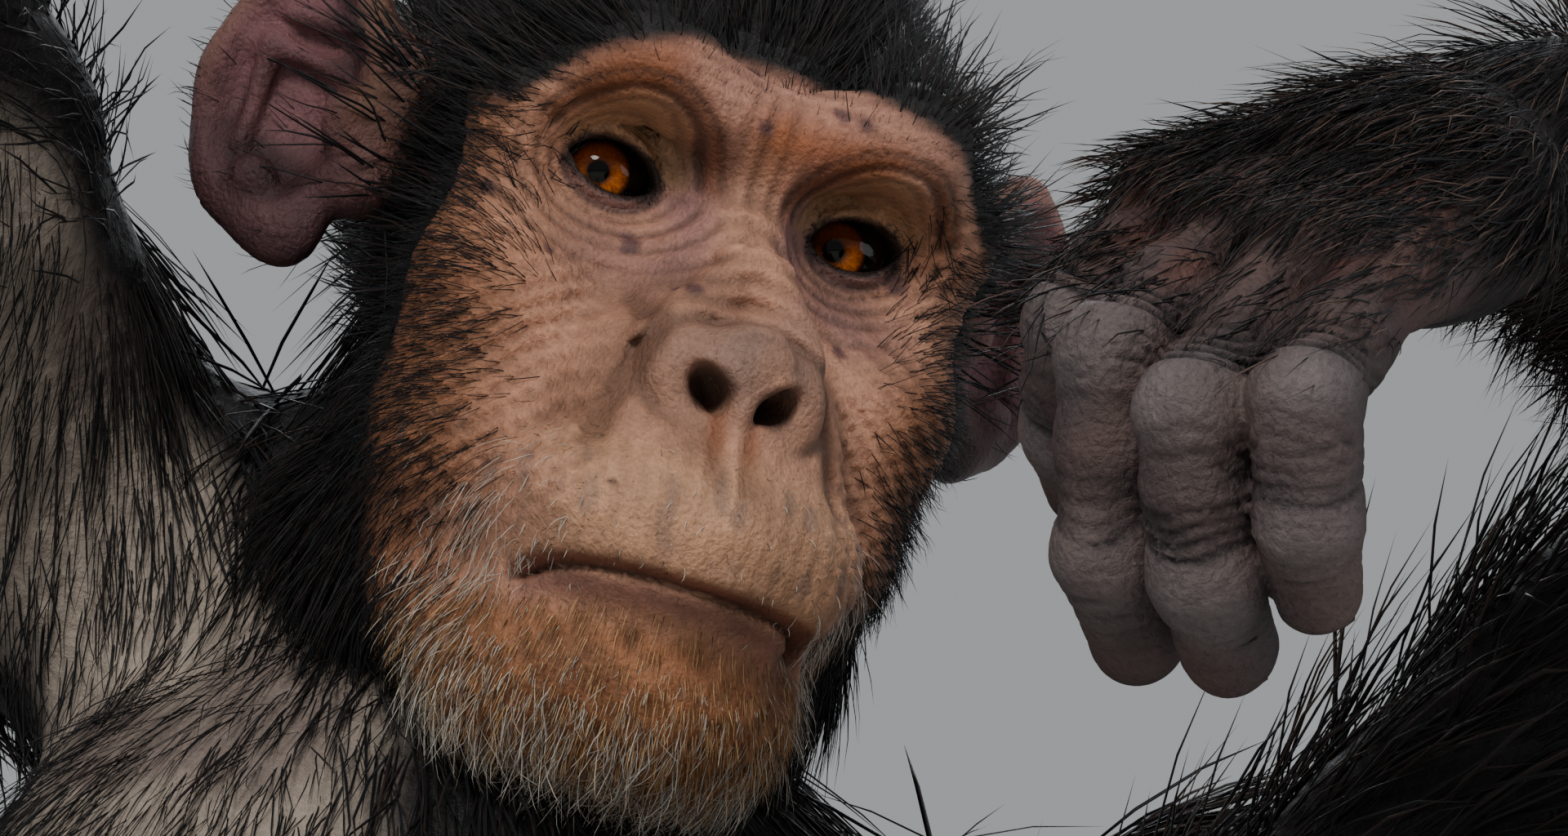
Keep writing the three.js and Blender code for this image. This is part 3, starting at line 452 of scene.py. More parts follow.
@dataclass
class HeadShape:
    """The skull, face and ears under the coat, in the head's frame."""

    mouth_height: float = -81.5
    mouth_bow: float = 0.6
    mouth_drop: float = 3.4
    fissure_half: float = 9.2
    fissure_height: float = 5.1
    fissure_tilt: float = 8.0
    upper_folds: tuple = ((8.2, 0.45, 0.6), (9.9, 0.4, 0.55), (11.6, 0.4, 0.55), (13.6, 0.8, 0.8),
                          (16.4, 0.5, 0.8))
    lower_folds: tuple = ((8.6, 0.6, 0.7), (11.4, 0.5, 0.7), (14.4, 0.6, 0.8), (18.0, 0.5, 0.9),
                          (22.5, 0.4, 1.0))
    ear_out: float = 1.25
    ear_centre: tuple = (77, 54, 6)
    forms: Blend = field(default_factory=Blend)

    def __post_init__(self) -> None:
        """Sets out skull, brow, cheeks, nose, muzzle, lips, chin and jaw."""
        add, pair = self.forms.add, self.forms.pair
        add(Ball((0, 68, 18), (57, 75, 56)), 0)
        add(Ball((0, 40, -12), (52, 50, 42)), 14)
        pair(lambda s: Bone((s * 6, -15, 14), (s * 28, -17, 20), 10.5, 12), 6)
        pair(lambda s: Bone((s * 28, -17, 20), (s * 45, -2, 9), 12, 9.5), 6)
        pair(lambda s: Bone((s * 44, -1, 8), (s * 42, 2, -22), 9, 11), 8)
        pair(lambda s: Ball((s * 38, 0, -30), (18, 20, 16)), 10)
        add(Ball((0, 8, -22), (42, 26, 32)), 10)
        add(Bone((0, -2, 8), (0, -22, -30), 11, 15), 10)
        add(Ball((0, -20, -47), (30, 30, 24)), 12)
        add(Ball((0, -27, -69), (38, 36, 22)), 12)
        add(Ball((1, -16, -96), (32, 31, 21)), 9)
        pair(lambda s: Bone((s * 18, -8, -96), (s * 38, 38, -70), 18, 19), 14)
        pair(lambda s: Ball((s * 37, 10, -54), (18, 28, 24)), 12)
        add(Ball((0, 30, -72), (40, 42, 30)), 14)
        add(Ball((0, -47, -35), (10, 9, 8.5)), 7)
        pair(lambda s: Ball((s * 12.5, -41.5, -39), (7.5, 8, 8)), 5)
        pair(lambda s: Bone((s * 3, -34, -16), (s * 13, -38, -33), 5, 6.5), 5)

    def mouth_line(self, x: Array, y: Array) -> tuple[Array, Array]:
        """The mouth across the muzzle.

        Args:
            x: How far left each point is.
            y: How far back each point is.

        Returns:
            The share of the way to the mouth's corner, and the mouth's height there.
        """
        t = np.arctan2(x, -(y + 18)) / 1.12
        inner = np.clip(t, -1.15, 1.15)
        return t, self.mouth_height + self.mouth_bow * (1 - inner ** 2) - self.mouth_drop * inner ** 4

    def lips(self, p: Array) -> Array:
        """How much the lips and the line between them raise the skin.

        Args:
            p: The points.

        Returns:
            The rise in millimetres.
        """
        t, height = self.mouth_line(p[:, 0], p[:, 1])
        front = ramp(14, 2, p[:, 1])
        within = ramp(1.1, 0.92, np.abs(t)) * front
        up = p[:, 2] - height
        upper = 0.7 * bell(up - 2.6, 2.4)
        lower = 0.15 * bell(up + 3.2, 2.4)
        slit = -1.9 * bell(up, 0.8) - 0.3 * bell(up + 0.8, 2.0)
        under = -0.7 * bell(up + 10, 6)
        striae = 0.22 * np.sin(p[:, 0] * 3.1 + 1.4 * waves(p, 8, 12)) * bell(up - 1.8, 2.0)
        corner = 1.2 * bell(np.abs(t) - 1.12, 0.1) * bell(up, 6)
        return (upper + lower + slit + under + striae) * within + corner * front

    def eye(self, p: Array, side: Side) -> tuple[Array, Array, Array]:
        """Points as across, up and deep from one eye's centre, across growing outwards.

        Args:
            p: The points.
            side: Which side.

        Returns:
            Across, up and deep for each point.
        """
        s = side.value
        x = (p[:, 0] - s * EYE_SPREAD) * s
        z = p[:, 2]
        a = math.radians(self.fissure_tilt)
        return x * math.cos(a) + z * math.sin(a), z * math.cos(a) - x * math.sin(a), p[:, 1] - EYE_SET_BACK

    def lids(self, d: Array, p: Array) -> Array:
        """The field with sockets, lids, the folds round them and the opening between them.

        Args:
            d: The field before.
            p: The points.

        Returns:
            The field after.
        """
        for side in Side:
            s = side.value
            socket = Ball((s * 26, -20, -1.5), (15.5, 13, 11.5)).distance(p)
            d = carve(d, socket, 6)
        for side in Side:
            across, up, deep = self.eye(p, side)
            lid = np.sqrt(across ** 2 + up ** 2 + deep ** 2) - EYE_RADIUS - LID_THICKNESS
            d = join(d, lid, 3.5)
            d -= self.folds(across, up, deep)
            span = np.clip(np.abs(across) / self.fissure_half, 0, 1)
            rise = np.where(up > 0, self.fissure_height * 1.02, self.fissure_height * 0.9)
            rise = rise * (1 - span ** 2.1) ** 0.72
            gap = np.maximum(np.abs(up) - rise, (np.abs(across) - self.fissure_half) * 0.8)
            gap = np.maximum(gap, deep + 3.5)
            d = carve(d, gap, 1.3)
        return d

    def folds(self, across: Array, up: Array, deep: Array) -> Array:
        """The skin's rise in the creases that ring an eye.

        Args:
            across: How far out from the eye's centre.
            up: How far above it.
            deep: How far behind it.

        Returns:
            The rise in millimetres.
        """
        near = ramp(4, -4, deep)
        ring = np.sqrt((across * 0.86) ** 2 + (up * np.where(up > 0, 1.0, 1.12)) ** 2)
        above = ramp(-1, 4, up) * near
        below = ramp(1, -4, up) * near
        rise = np.zeros(len(up))
        for radius, depth, width in self.upper_folds:
            rise -= above * depth * bell(ring - radius, width)
        for radius, depth, width in self.lower_folds:
            rise -= below * depth * bell(ring - radius, width)
        return rise + 0.5 * near * bell(ring - 7.2, 1.0)

    def nostrils(self, d: Array, p: Array) -> Array:
        """The field with the two slanting pits of the nose and the rims over them.

        Args:
            d: The field before.
            p: The points.

        Returns:
            The field after.
        """
        for side in Side:
            s = side.value
            q = p - (s * 6.5, -49.0, -42.0)
            along = q @ unit((s * 0.28, 1.0, 0.42))
            wide = q @ unit((s * 0.74, 0.0, 0.67))
            tall = q @ unit((-s * 0.67, -0.25, 0.74))
            ring = np.sqrt((wide / 5.6) ** 2 + (tall / 4.6) ** 2)
            d -= 0.9 * bell(ring - 1.1, 0.28) * bell(along, 8) * ramp(-0.4, 0.5, tall / 4.6)
            pit = np.sqrt((wide / 5.4) ** 2 + (tall / 3.7) ** 2 + (along / 11) ** 2) - 1
            d = carve(d, pit * 3.6, 1.8)
        return d

    def creases(self, p: Array) -> Array:
        """The skin's rise in fine wrinkles on brow, nose, cheeks and lip.

        Args:
            p: The points.

        Returns:
            The rise in millimetres.
        """
        x, y, z = p.T
        front = ramp(12, -8, y)
        sway = waves(p, 18, 7)
        brow = front * ramp(14, 22, z)
        rise = brow * 0.2 * np.sin(z * 1.9 + 1.6 * waves(p, 20, 5))
        glabella = front * bell(x, 9) * ramp(-6, 2, z) * ramp(24, 16, z)
        rise += glabella * 0.35 * np.sin(x * 1.5 + 1.2 * waves(p, 12, 13))
        bridge = front * bell(x, 13) * ramp(-34, -26, z) * ramp(4, -4, z)
        rise += bridge * 0.38 * np.sin(z * 1.45 + np.abs(x) * 0.3 + waves(p, 12, 6))
        cheek = front * ramp(18, 30, np.abs(x)) * ramp(-12, -22, z) * ramp(-80, -66, z)
        rise += cheek * 0.26 * np.sin((z + np.abs(x) * 0.75) * 1.25 + 1.8 * sway)
        rise += cheek * 0.16 * np.sin((z - np.abs(x) * 0.6) * 1.9 + 2.2 * sway)
        temple = ramp(16, 0, y) * ramp(34, 42, np.abs(x)) * ramp(-20, -8, z) * ramp(20, 10, z)
        rise += temple * 0.28 * np.sin(z * 1.3 - np.abs(x) * 0.5 + 1.5 * sway)
        crease = np.abs(x) - (18 + 0.3 * np.maximum(-z - 34, 0))
        rise -= front * 1.3 * bell(crease, 2.0) * ramp(-20, -30, z) * ramp(-66, -52, z)
        wing = np.hypot((np.abs(x) - 8) / 9.5, (z + 40) / 9) - 1.25
        rise -= front * 0.9 * bell(wing, 0.16) * ramp(3, 8, np.abs(x)) * ramp(-54, -46, z)
        lip = front * ramp(-50, -58, z) * ramp(-82, -76, z)
        rise += lip * 0.12 * np.sin(x * 1.7 + 1.2 * waves(p, 14, 8))
        septum = front * ramp(-40, -46, z) * ramp(-68, -54, z)
        rise += septum * (0.8 * bell(x, 1.5) - 0.6 * bell(np.abs(x) - 3.4, 1.3))
        chin = front * ramp(-86, -92, z)
        rise += chin * 0.3 * waves(p, 4.0, 14)
        return rise + front * (0.09 * waves(p, 4.5, 9) + 0.3 * waves(p, 13, 10))

    def ear_place(self, p: Array, side: Side) -> Array:
        """Points of the head as out along, in front of and up one ear.

        Args:
            p: The points.
            side: Which side.

        Returns:
            Out, ahead and up for each point.
        """
        s = side.value
        out = unit((s * self.ear_out, 1, 0.12))
        face = unit((s * 1, -self.ear_out, 0))
        up = np.cross(out, face)
        up = up if up[2] > 0 else -up
        q = p - (s * self.ear_centre[0], self.ear_centre[1], self.ear_centre[2])
        return np.stack([q @ out, q @ face, q @ up], -1)

    def ear(self, p: Array, side: Side) -> Array:
        """How far points are outside one ear, a cupped dish with a rolled rim and inner ridges.

        Args:
            p: The points.
            side: Which side.

        Returns:
            Distances, negative inside.
        """
        q = self.ear_place(p, side)
        d = Ball((0, 0, 0), (21, 8, 31)).distance(q)
        d = join(d, Bone((-22, -2, 12), (-20, -2, -14), 7, 7).distance(q), 6)
        d = join(d, Ball((-7, 0, -27), (9, 5, 8)).distance(q), 5)
        d = carve(d, Ball((0, 9, 0), (16.5, 11.5, 26.5)).distance(q), 2.2)
        d = join(d, Bone((-13, 1, 15), (5, 2.2, 15), 3.2, 2.0).distance(q), 3.5)
        d = join(d, Bone((-8, 0, 6), (7, 1.8, 8), 2.6, 2.0).distance(q), 3.5)
        d = join(d, Bone((7, 1.8, 8), (7, 1.8, -13), 2.2, 1.8).distance(q), 3.5)
        d = join(d, Ball((-14, 5, -4), (5, 4, 6)).distance(q), 4)
        d = join(d, Ball((0, 4, -19), (5, 3, 4)).distance(q), 4)
        return carve(d, Ball((-6, 4, -6), (5.5, 8, 8)).distance(q), 3) - 0.35 * waves(p, 7, 15)

    def distance(self, p: Array) -> Array:
        """How far points are outside the head."""
        d = self.lids(self.nostrils(self.forms.distance(p), p) - self.lips(p) - self.creases(p), p)
        return join(join(d, self.ear(p, Side.LEFT), 5), self.ear(p, Side.RIGHT), 5)


@dataclass
class HandShape:
    """A hand under its hair, with creased knuckles and finger pads, in animal millimetres."""

    side: Side
    forms: Blend = field(default_factory=Blend)
    fingers: list = field(default_factory=list)
    bends: list = field(default_factory=list)

    def __post_init__(self) -> None:
        """Sets out wrist, palm and digits."""
        word = self.side.word
        digits = {name: [np.array(j, float) for j in joints] for name, joints in FINGERS[word].items()}
        wrist, elbow = place(f"wrist_{word}"), place(f"elbow_{word}")
        knuckles = lerp(digits["middle"][0], digits["ring"][0], 0.5)
        add = self.forms.add
        add(Bone(tuple(lerp(wrist, elbow, 0.3)), tuple(wrist), 23.5, 17.5), 0)
        add(Bone(tuple(wrist), tuple(lerp(wrist, knuckles, 0.5)), 19, 16), 14)
        for name, (near, end) in {"index": (14, 10.5), "middle": (14.5, 11), "ring": (14.5, 10.6),
                                  "little": (13.5, 9.8), "thumb": (13.5, 10.5)}.items():
            share = {"index": 0.5, "little": 0.5, "thumb": 0.3}.get(name, 0.4)
            add(Bone(tuple(lerp(wrist, digits[name][0], share)), tuple(digits[name][0]), near, end), 14)
        for name, joints in digits.items():
            r = FINGER_RADIUS[name] + {"ring": 0.5, "little": 0.8}.get(name, 0.0)
            points = [joints[0], lerp(joints[0], joints[1], 0.55), joints[1], lerp(joints[1], joints[2], 0.5),
                      joints[2], lerp(joints[2], joints[3], 0.72)]
            finger = Blend()
            finger.chain(points, (r * 1.04, r * 0.97, r * 0.99, r * 0.97, r * 0.95, r * 0.9), 5)
            self.fingers.append(finger)
            self.bends.append((joints, r))

    def distance(self, p: Array) -> Array:
        """How far points are outside the hand."""
        digits = [finger.distance(p) for finger in self.fingers]
        return reduce(lambda d, digit: join(d, digit, 1.2), digits, self.forms.distance(p)) - self.creases(p)

    def creases(self, p: Array) -> Array:
        """The skin's rise at knuckle pads and in the deep wrinkles above and below them.

        Args:
            p: The points.

        Returns:
            The rise in millimetres.
        """
        rise = 0.18 * waves(p, 6, 21)
        for joints, r in self.bends:
            for k, strength in ((1, 1.0), (2, 0.6)):
                before, after = unit(joints[k] - joints[k - 1]), unit(joints[k + 1] - joints[k])
                along, outer = unit(before + after), unit(before - after)
                q = p - joints[k]
                t = q @ along + 0.8 * waves(p, 10, 22 + k)
                far = np.linalg.norm(q - outer * r * 0.5, axis=1) / r
                pad, below = bell(far / 1.35, 1.0), bell(far / 1.6, 1.0)
                above = bell(far / 2.1, 1.0) * ramp(0, -3, t)
                rise += strength * (0.45 * pad * bell(t, 5) + 0.3 * above * bell(t + 10, 4))
                rise -= strength * 1.5 * above * sum(bell(t - at, 0.8) for at in (-14.5, -11.7, -9.1, -6.8))
                rise -= strength * 0.6 * below * sum(bell(t - at, 0.9) for at in (6.6, 9.6))
            tip = bell(np.linalg.norm(p - lerp(joints[2], joints[3], 0.3), axis=1) / (r * 1.5), 1.0)
            axis = unit(joints[3] - joints[2])
            rise -= 0.4 * tip * np.maximum(np.sin((p - joints[2]) @ axis * 1.3 + waves(p, 9, 25)), 0) ** 3
            shaft = unit(joints[2] - joints[1])
            middle = bell(np.linalg.norm(p - lerp(joints[1], joints[2], 0.6), axis=1) / (r * 1.7), 1.0)
            lines = np.sin((p - joints[1]) @ shaft * 1.9 + 1.5 * waves(p, 8, 26))
            rise -= 0.22 * middle * np.maximum(lines, 0) ** 2
        return rise


@dataclass
class FootShape:
    """A foot with a long sole, four toes and a thumb-like big toe, in animal millimetres."""

    side: Side
    forms: Blend = field(default_factory=Blend)
    toes: list = field(default_factory=list)

    def at(self, ahead: float, aside: float, z: float) -> tuple:
        """A point ahead of and beside the ankle, at a height over the floor.

        Args:
            ahead: How far towards the toes.
            aside: How far to the side.
            z: The height.

        Returns:
            The point.
        """
        ankle = place(f"ankle_{self.side.word}")
        forward = unit(FOOT_HEADING[self.side.word])
        sideways = np.array((-forward[1], forward[0], 0))
        return tuple(np.append((ankle + forward * ahead + sideways * aside)[:2], z))

    def __post_init__(self) -> None:
        """Sets out heel, arch, ball, ankle and toes."""
        inner, at, add = -self.side.value, self.at, self.forms.add
        ankle, knee = place(f"ankle_{self.side.word}"), place(f"knee_{self.side.word}")
        add(Bone(at(-34, 0, 24.5), at(20, inner * -4, 25.5), 24, 24), 0)
        add(Bone(at(20, inner * -6, 24.5), at(84, inner * -8, 17), 23, 16), 20)
        add(Bone(at(74, inner * 14, 16), at(92, inner * -24, 15), 15, 14), 16)
        add(Bone(at(10, inner * 8, 24), at(52, inner * 26, 17), 19, 14), 18)
        add(Bone(at(0, 0, 30), tuple(ankle), 25, 22), 16)
        add(Bone(tuple(ankle), tuple(lerp(ankle, knee, 0.22)), 22, 22.5), 16)
        for i, length in enumerate(TOE_LENGTH):
            aside, splay, start = inner * (14 - 14 * i), inner * (3 - 2.6 * i), 86 - i * 2.5
            end = aside + splay
            points = [at(start - 8, aside, 13), at(start + length * 0.5, aside + splay * 0.7, 14.6),
                      at(start + length * 0.84, end, 9.6), at(start + length * 0.93, end, 8)]
            self._toe(points, (8.4, 7.8, 7.0, 6.3))
        points = [at(ahead, inner * aside, z)
                  for ahead, aside, z in ((42, 27, 15), (71, 42, 14), (88, 47, 11), (94, 48, 10))]
        self._toe(points, (12, 10.6, 9.9, 8.8))

    def _toe(self, points: list, radii: tuple) -> None:
        """Keeps one toe's rods apart from its neighbours'."""
        self.toes.append(Blend())
        self.toes[-1].chain([np.array(q) for q in points], radii, 4)

    def distance(self, p: Array) -> Array:
        """How far points are outside the foot, which ends at the floor.

        Args:
            p: The points.

        Returns:
            Distances, negative inside.
        """
        d = self.forms.distance(p)
        for toe in self.toes:
            d = join(d, toe.distance(p), 2.6)
        wrinkles = np.sin(p[:, 2] * 0.9 + 2 * waves(p, 20, 32)) * ramp(40, 10, p[:, 2])
        d -= 0.25 * waves(p, 8, 31) + 0.2 * wrinkles
        return carve(d, p[:, 2] - 0.6, 3)


@dataclass
class BodyShape:
    """Trunk, neck, arms and legs under the coat, in animal millimetres."""

    forms: Blend = field(default_factory=Blend)
    limbs: dict = field(default_factory=dict)

    def __post_init__(self) -> None:
        """Sets out the trunk and the four limbs."""
        add = self.forms.add
        add(Ball((-46, 62, 84), (96, 80, 86)), 0)
        add(Ball((-46, 38, 165), (98, 84, 88)), 40)
        add(Ball((-38, 80, 262), (100, 84, 94)), 40)
        add(Bone(JOINT["shoulder_left"], JOINT["shoulder_right"], 38, 40), 30)
        add(Bone((-30, 104, 345), (-2, 78, 412), 50, 44), 30)
        for side in Side:
            word = side.word
            shoulder, elbow, wrist = place(f"shoulder_{word}"), place(f"elbow_{word}"), place(f"wrist_{word}")
            hip, knee, ankle = place(f"hip_{word}"), place(f"knee_{word}"), place(f"ankle_{word}")
            add(Bone(tuple(shoulder), tuple(lerp(shoulder, elbow, 0.25)), 38, 34), 26)
            add(Bone(tuple(hip), tuple(lerp(hip, knee, 0.25)), 58, 54), 30)
            self._limb(f"upper_arm_{word}", lerp(shoulder, elbow, 0.12), elbow, UPPER_ARM_RADII)
            self._limb(f"forearm_{word}", elbow, lerp(elbow, wrist, 0.86), FOREARM_RADII[:4] + (19.5,))
            self._limb(f"thigh_{word}", lerp(hip, knee, 0.12), knee, THIGH_RADII)
            self._limb(f"shin_{word}", knee, lerp(knee, ankle, 0.92), SHIN_RADII)

    def _limb(self, name: str, start: Array, end: Array, radii: tuple) -> None:
        """Joins one length of limb through evenly spaced radii.

        Args:
            name: The limb's name.
            start: Its near end.
            end: Its far end.
            radii: Its radii from end to end.
        """
        shares = np.linspace(0, 1, len(radii))
        points = []
        for t, r in zip(shares, radii):
            points.append(lerp(start, end, t) + (0, 0.06 * r * math.sin(math.pi * t), 0))
        limb = Blend()
        limb.chain(points, radii, 8)
        self.limbs[name] = limb

    def distance(self, p: Array) -> Array:
        """How far points are outside the body, which ends at the floor.

        Args:
            p: The points.

        Returns:
            Distances, negative inside.
        """
        d = self.forms.distance(p)
        for name, limb in self.limbs.items():
            d = join(d, limb.distance(p), 14 if "forearm" in name or "shin" in name else 20)
        return carve(d - self.creases(p), p[:, 2] - 0.8, 4)

    def creases(self, p: Array) -> Array:
        """The skin's rise in its uneven lie, as smooth waves over trunk and limbs."""
        return 0.7 * waves(p, 30, 41) + 0.35 * waves(p, 13, 42)


def new_object(name: str, points: Array, faces: Array, tones: Array | None = None) -> Piece:
    """A smooth mesh object with a colour for each corner point.

    Args:
        name: The object's name.
        points: Corner points in the part's metres.
        faces: Corner numbers, with as many to each face.
        tones: Linear colours, one for each point.

    Returns:
        The object, linked into the scene.
    """
    mesh = bpy.data.meshes.new(name)
    sides = faces.shape[1]
    mesh.vertices.add(len(points))
    mesh.vertices.foreach_set("co", np.ascontiguousarray(points, np.float32).ravel())
    mesh.loops.add(faces.size)
    mesh.loops.foreach_set("vertex_index", np.ascontiguousarray(faces, np.int32).ravel())
    mesh.polygons.add(len(faces))
    mesh.polygons.foreach_set("loop_start", np.arange(0, faces.size, sides, dtype=np.int32))
    mesh.update(calc_edges=True)
    mesh.validate()
    mesh.shade_smooth()
    if tones is not None:
        layer = mesh.color_attributes.new("Tone", "FLOAT_COLOR", "POINT")
        rgba = np.concatenate([tones, np.ones((len(tones), 1))], 1)
        layer.data.foreach_set("color", np.ascontiguousarray(rgba, np.float32).ravel())
    made = bpy.data.objects.new(name, mesh)
    bpy.context.scene.collection.objects.link(made)
    return made


def dress(made: Piece, material: bpy.types.Material, slot: Slot, nodes: tuple = ()) -> None:
    """Gives a piece its finish and its body, and hides the CAD nodes it stands for.

    Args:
        made: The piece.
        material: Its finish.
        slot: Not used.
        nodes: The CAD nodes it stands for.
    """
    made.data.materials.clear()
    made.data.materials.append(material)
    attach(made, BODY)
    if nodes:
        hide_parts(*nodes)


def fill(tree: bpy.types.NodeTree, node: Node, inputs: dict) -> Node:
    """Sets a node's inputs, links those given as sockets and leaves those given as None.

    Args:
        tree: The tree.
        node: The node.
        inputs: Values and sockets by input.

    Returns:
        The same node.
    """
    for key, value in inputs.items():
        if isinstance(value, Socket):
            tree.links.new(value, node.inputs[key])
        elif value is not None:
            node.inputs[key].default_value = value
    return node


def add_node(tree: bpy.types.NodeTree, kind: str, inputs: dict | None = None, **settings: object) -> Node:
    """A new node with its settings and inputs.

    Args:
        tree: The tree.
        kind: The node's type.
        inputs: Values and sockets by input.
        settings: The node's own options.

    Returns:
        The node.
    """
    made = tree.nodes.new(kind)
    for key, value in settings.items():
        setattr(made, key, value)
    return fill(tree, made, inputs or {})


@dataclass
class Shader:
    """A material's node tree in the making."""

    name: str

    def __post_init__(self) -> None:
        """Starts a material with one surface shader."""
        self.material = bpy.data.materials.new(self.name)
        self.material.use_nodes = True
        self.tree = self.material.node_tree
        self.surface = self.tree.nodes["Principled BSDF"]
        self.node = partial(add_node, self.tree)
        self.place = self.node("ShaderNodeTexCoord").outputs["Object"]

    def set(self, **values: object) -> None:
        """Sets or links the surface's own sockets, with _ for a space in a name."""
        fill(self.tree, self.surface, {key.replace("_", " "): value for key, value in values.items()})

    def attribute(self, name: str, kind: str = "Color") -> Socket:
        """What the mesh carries under a name."""
        return self.node("ShaderNodeAttribute", attribute_name=name).outputs[kind]

    def spot(self, stretch: tuple, turn: tuple = (0, 0, 0)) -> Socket:
        """The object's own place, stretched and turned."""
        inputs = {"Vector": self.place, "Rotation": turn, "Scale": stretch}
        return self.node("ShaderNodeMapping", inputs).outputs["Vector"]

    def noise(self, scale: float, detail: float = 3, stretch: tuple = (1, 1, 1), turn: tuple = (0, 0, 0),
              roughness: float = 0.5) -> Socket:
        """Noise on the object's own place, stretched and turned."""
        held = {"Vector": self.spot(stretch, turn), "Scale": scale, "Detail": detail, "Roughness": roughness}
        return self.node("ShaderNodeTexNoise", held).outputs["Fac"]

    def cells(self, scale: float) -> Socket:
        """Distance to the edges of irregular cells."""
        inputs = {"Vector": self.spot((1, 1, 1)), "Scale": scale, "Randomness": 1.0}
        return self.node("ShaderNodeTexVoronoi", inputs, feature="DISTANCE_TO_EDGE").outputs["Distance"]

    def span(self, value: Socket, low: float, high: float, start: float, end: float) -> Socket:
        """A value carried from one range to another and held there."""
        inputs = {"Value": value, "From Min": low, "From Max": high, "To Min": start, "To Max": end}
        return self.node("ShaderNodeMapRange", inputs).outputs["Result"]

    def tint(self, base: Socket, value: Socket, low: float, high: float) -> Socket:
        """A colour made darker or lighter by a value from 0 to 1."""
        inputs = {0: base, "Scale": self.span(value, 0.25, 0.75, low, high)}
        return self.node("ShaderNodeVectorMath", inputs, operation="SCALE").outputs["Vector"]

    def bump(self, height: Socket, distance: float, strength: float,
             under: Socket | None = None) -> Socket:
        """A bumped normal over another one."""
        inputs = {"Height": height, "Distance": distance, "Strength": strength, "Normal": under}
        return self.node("ShaderNodeBump", inputs).outputs["Normal"]


@dataclass(frozen=True)
class SkinFinish:
    """Living skin: fine creased bump, uneven gloss and light that sinks in."""

    name: str
    roughness: float = 0.5
    pore_scale: float = 900.0
    crease_scale: float = 260.0
    crease_depth: float = 0.0005
    glow: float = 0.12
    grain: tuple = (1.0, 1.0, 1.0)
    turn: tuple = (0.0, 0.0, 0.0)

    def material(self) -> bpy.types.Material:
        """The finish as a material.

        Returns:
            The material.
        """
        shader = Shader(self.name)
        blotch = shader.noise(90, 4, roughness=0.6)
        fine = shader.noise(self.pore_scale, 3, roughness=0.6)
        lines = shader.noise(self.crease_scale * 0.7, 6, self.grain, self.turn, 0.75)
        tone = shader.tint(shader.attribute("Tone"), blotch, 0.8, 1.18)
        # Darker where the pore and crease bumps are low: painted shade in pores and fine creases, over the
        # skin's uneven tone.
        tone = shader.tint(shader.tint(tone, fine, 0.8, 1.2), lines, 0.78, 1.15)
        plates = shader.span(shader.cells(self.crease_scale), 0, 0.3, 0, 1)
        normal = shader.bump(plates, self.crease_depth * 0.6, 0.6)
        normal = shader.bump(lines, self.crease_depth * 2.4, 0.85, normal)
        normal = shader.bump(fine, 0.0004, 0.8, normal)
        gloss = shader.span(blotch, 0.3, 0.7, self.roughness + 0.08, self.roughness - 0.08)
        shader.set(Base_Color=tone, Roughness=gloss, Normal=normal, Specular_IOR_Level=0.38,
                   Subsurface_Weight=self.glow, Subsurface_Radius=(1.0, 0.38, 0.2), Subsurface_Scale=0.003)
        return shader.material


@dataclass(frozen=True)
class HairFinish:
    """Coarse hair: its own colour lock by lock, a long gloss and a soft sheen."""

    name: str
    roughness: float = 0.5
    gloss: float = 0.28
    sheen: float = 0.06

    def material(self) -> bpy.types.Material:
        """The finish as a material.

        Returns:
            The material.
        """
        shader = Shader(self.name)
        strand = shader.noise(1400, 2)
        gloss = shader.span(strand, 0.3, 0.7, self.roughness + 0.1, self.roughness - 0.08)
        shader.set(Base_Color=shader.tint(shader.attribute("Tone"), strand, 0.8, 1.25), Roughness=gloss,
                   Normal=shader.bump(strand, 0.0002, 0.4), Specular_IOR_Level=self.gloss,
                   Sheen_Weight=self.sheen, Sheen_Roughness=0.4, Sheen_Tint=(0.75, 0.85, 1.0, 1))
        return shader.material


@dataclass(frozen=True)
class EyeFinish:
    """A wet eye: fibres that run from the pupil, under a clear coat."""

    name: str = "eye_wet"

    def material(self) -> bpy.types.Material:
        """The finish as a material.

        Returns:
            The material.
        """
        shader = Shader(self.name)
        inputs = {"Vector": shader.attribute("Fibre", "Vector"), "Scale": 9.0, "Detail": 4, "Roughness": 0.6}
        fibre = shader.node("ShaderNodeTexNoise", inputs).outputs["Fac"]
        shader.set(Base_Color=shader.tint(shader.attribute("Tone"), fibre, 0.45, 1.55), Roughness=0.5,
                   Normal=shader.bump(shader.noise(500, 2), 0.0001, 0.15), Specular_IOR_Level=0.0,
                   Coat_Weight=0.7, Coat_Roughness=0.02, Coat_IOR=1.36)
        return shader.material


@dataclass(frozen=True)
class NailFinish:
    """A nail: dark horn with fine ridges and a dull gloss."""

    name: str = "nail_horn"

    def material(self) -> bpy.types.Material:
        """The finish as a material.

        Returns:
            The material.
        """
        shader = Shader(self.name)
        ridges = shader.noise(700, 3)
        shader.set(Base_Color=shader.tint(shader.attribute("Tone"), ridges, 0.75, 1.25),
                   Roughness=shader.span(ridges, 0.3, 0.7, 0.42, 0.28),
                   Normal=shader.bump(ridges, 0.0002, 0.4))
        return shader.material


@dataclass(frozen=True)
class FloorFinish:
    """A plain pale studio floor."""

    name: str = "studio_floor"

    def material(self) -> bpy.types.Material:
        """The finish as a material.

        Returns:
            The material.
        """
        shader = Shader(self.name)
        inputs = {"Factor": shader.noise(6, 3), "A": (0.62, 0.61, 0.59, 1), "B": (0.68, 0.67, 0.65, 1)}
        grain = shader.node("ShaderNodeMix", inputs, data_type="RGBA").outputs["Result"]
        shader.set(Base_Color=grain, Roughness=0.85)
        return shader.material


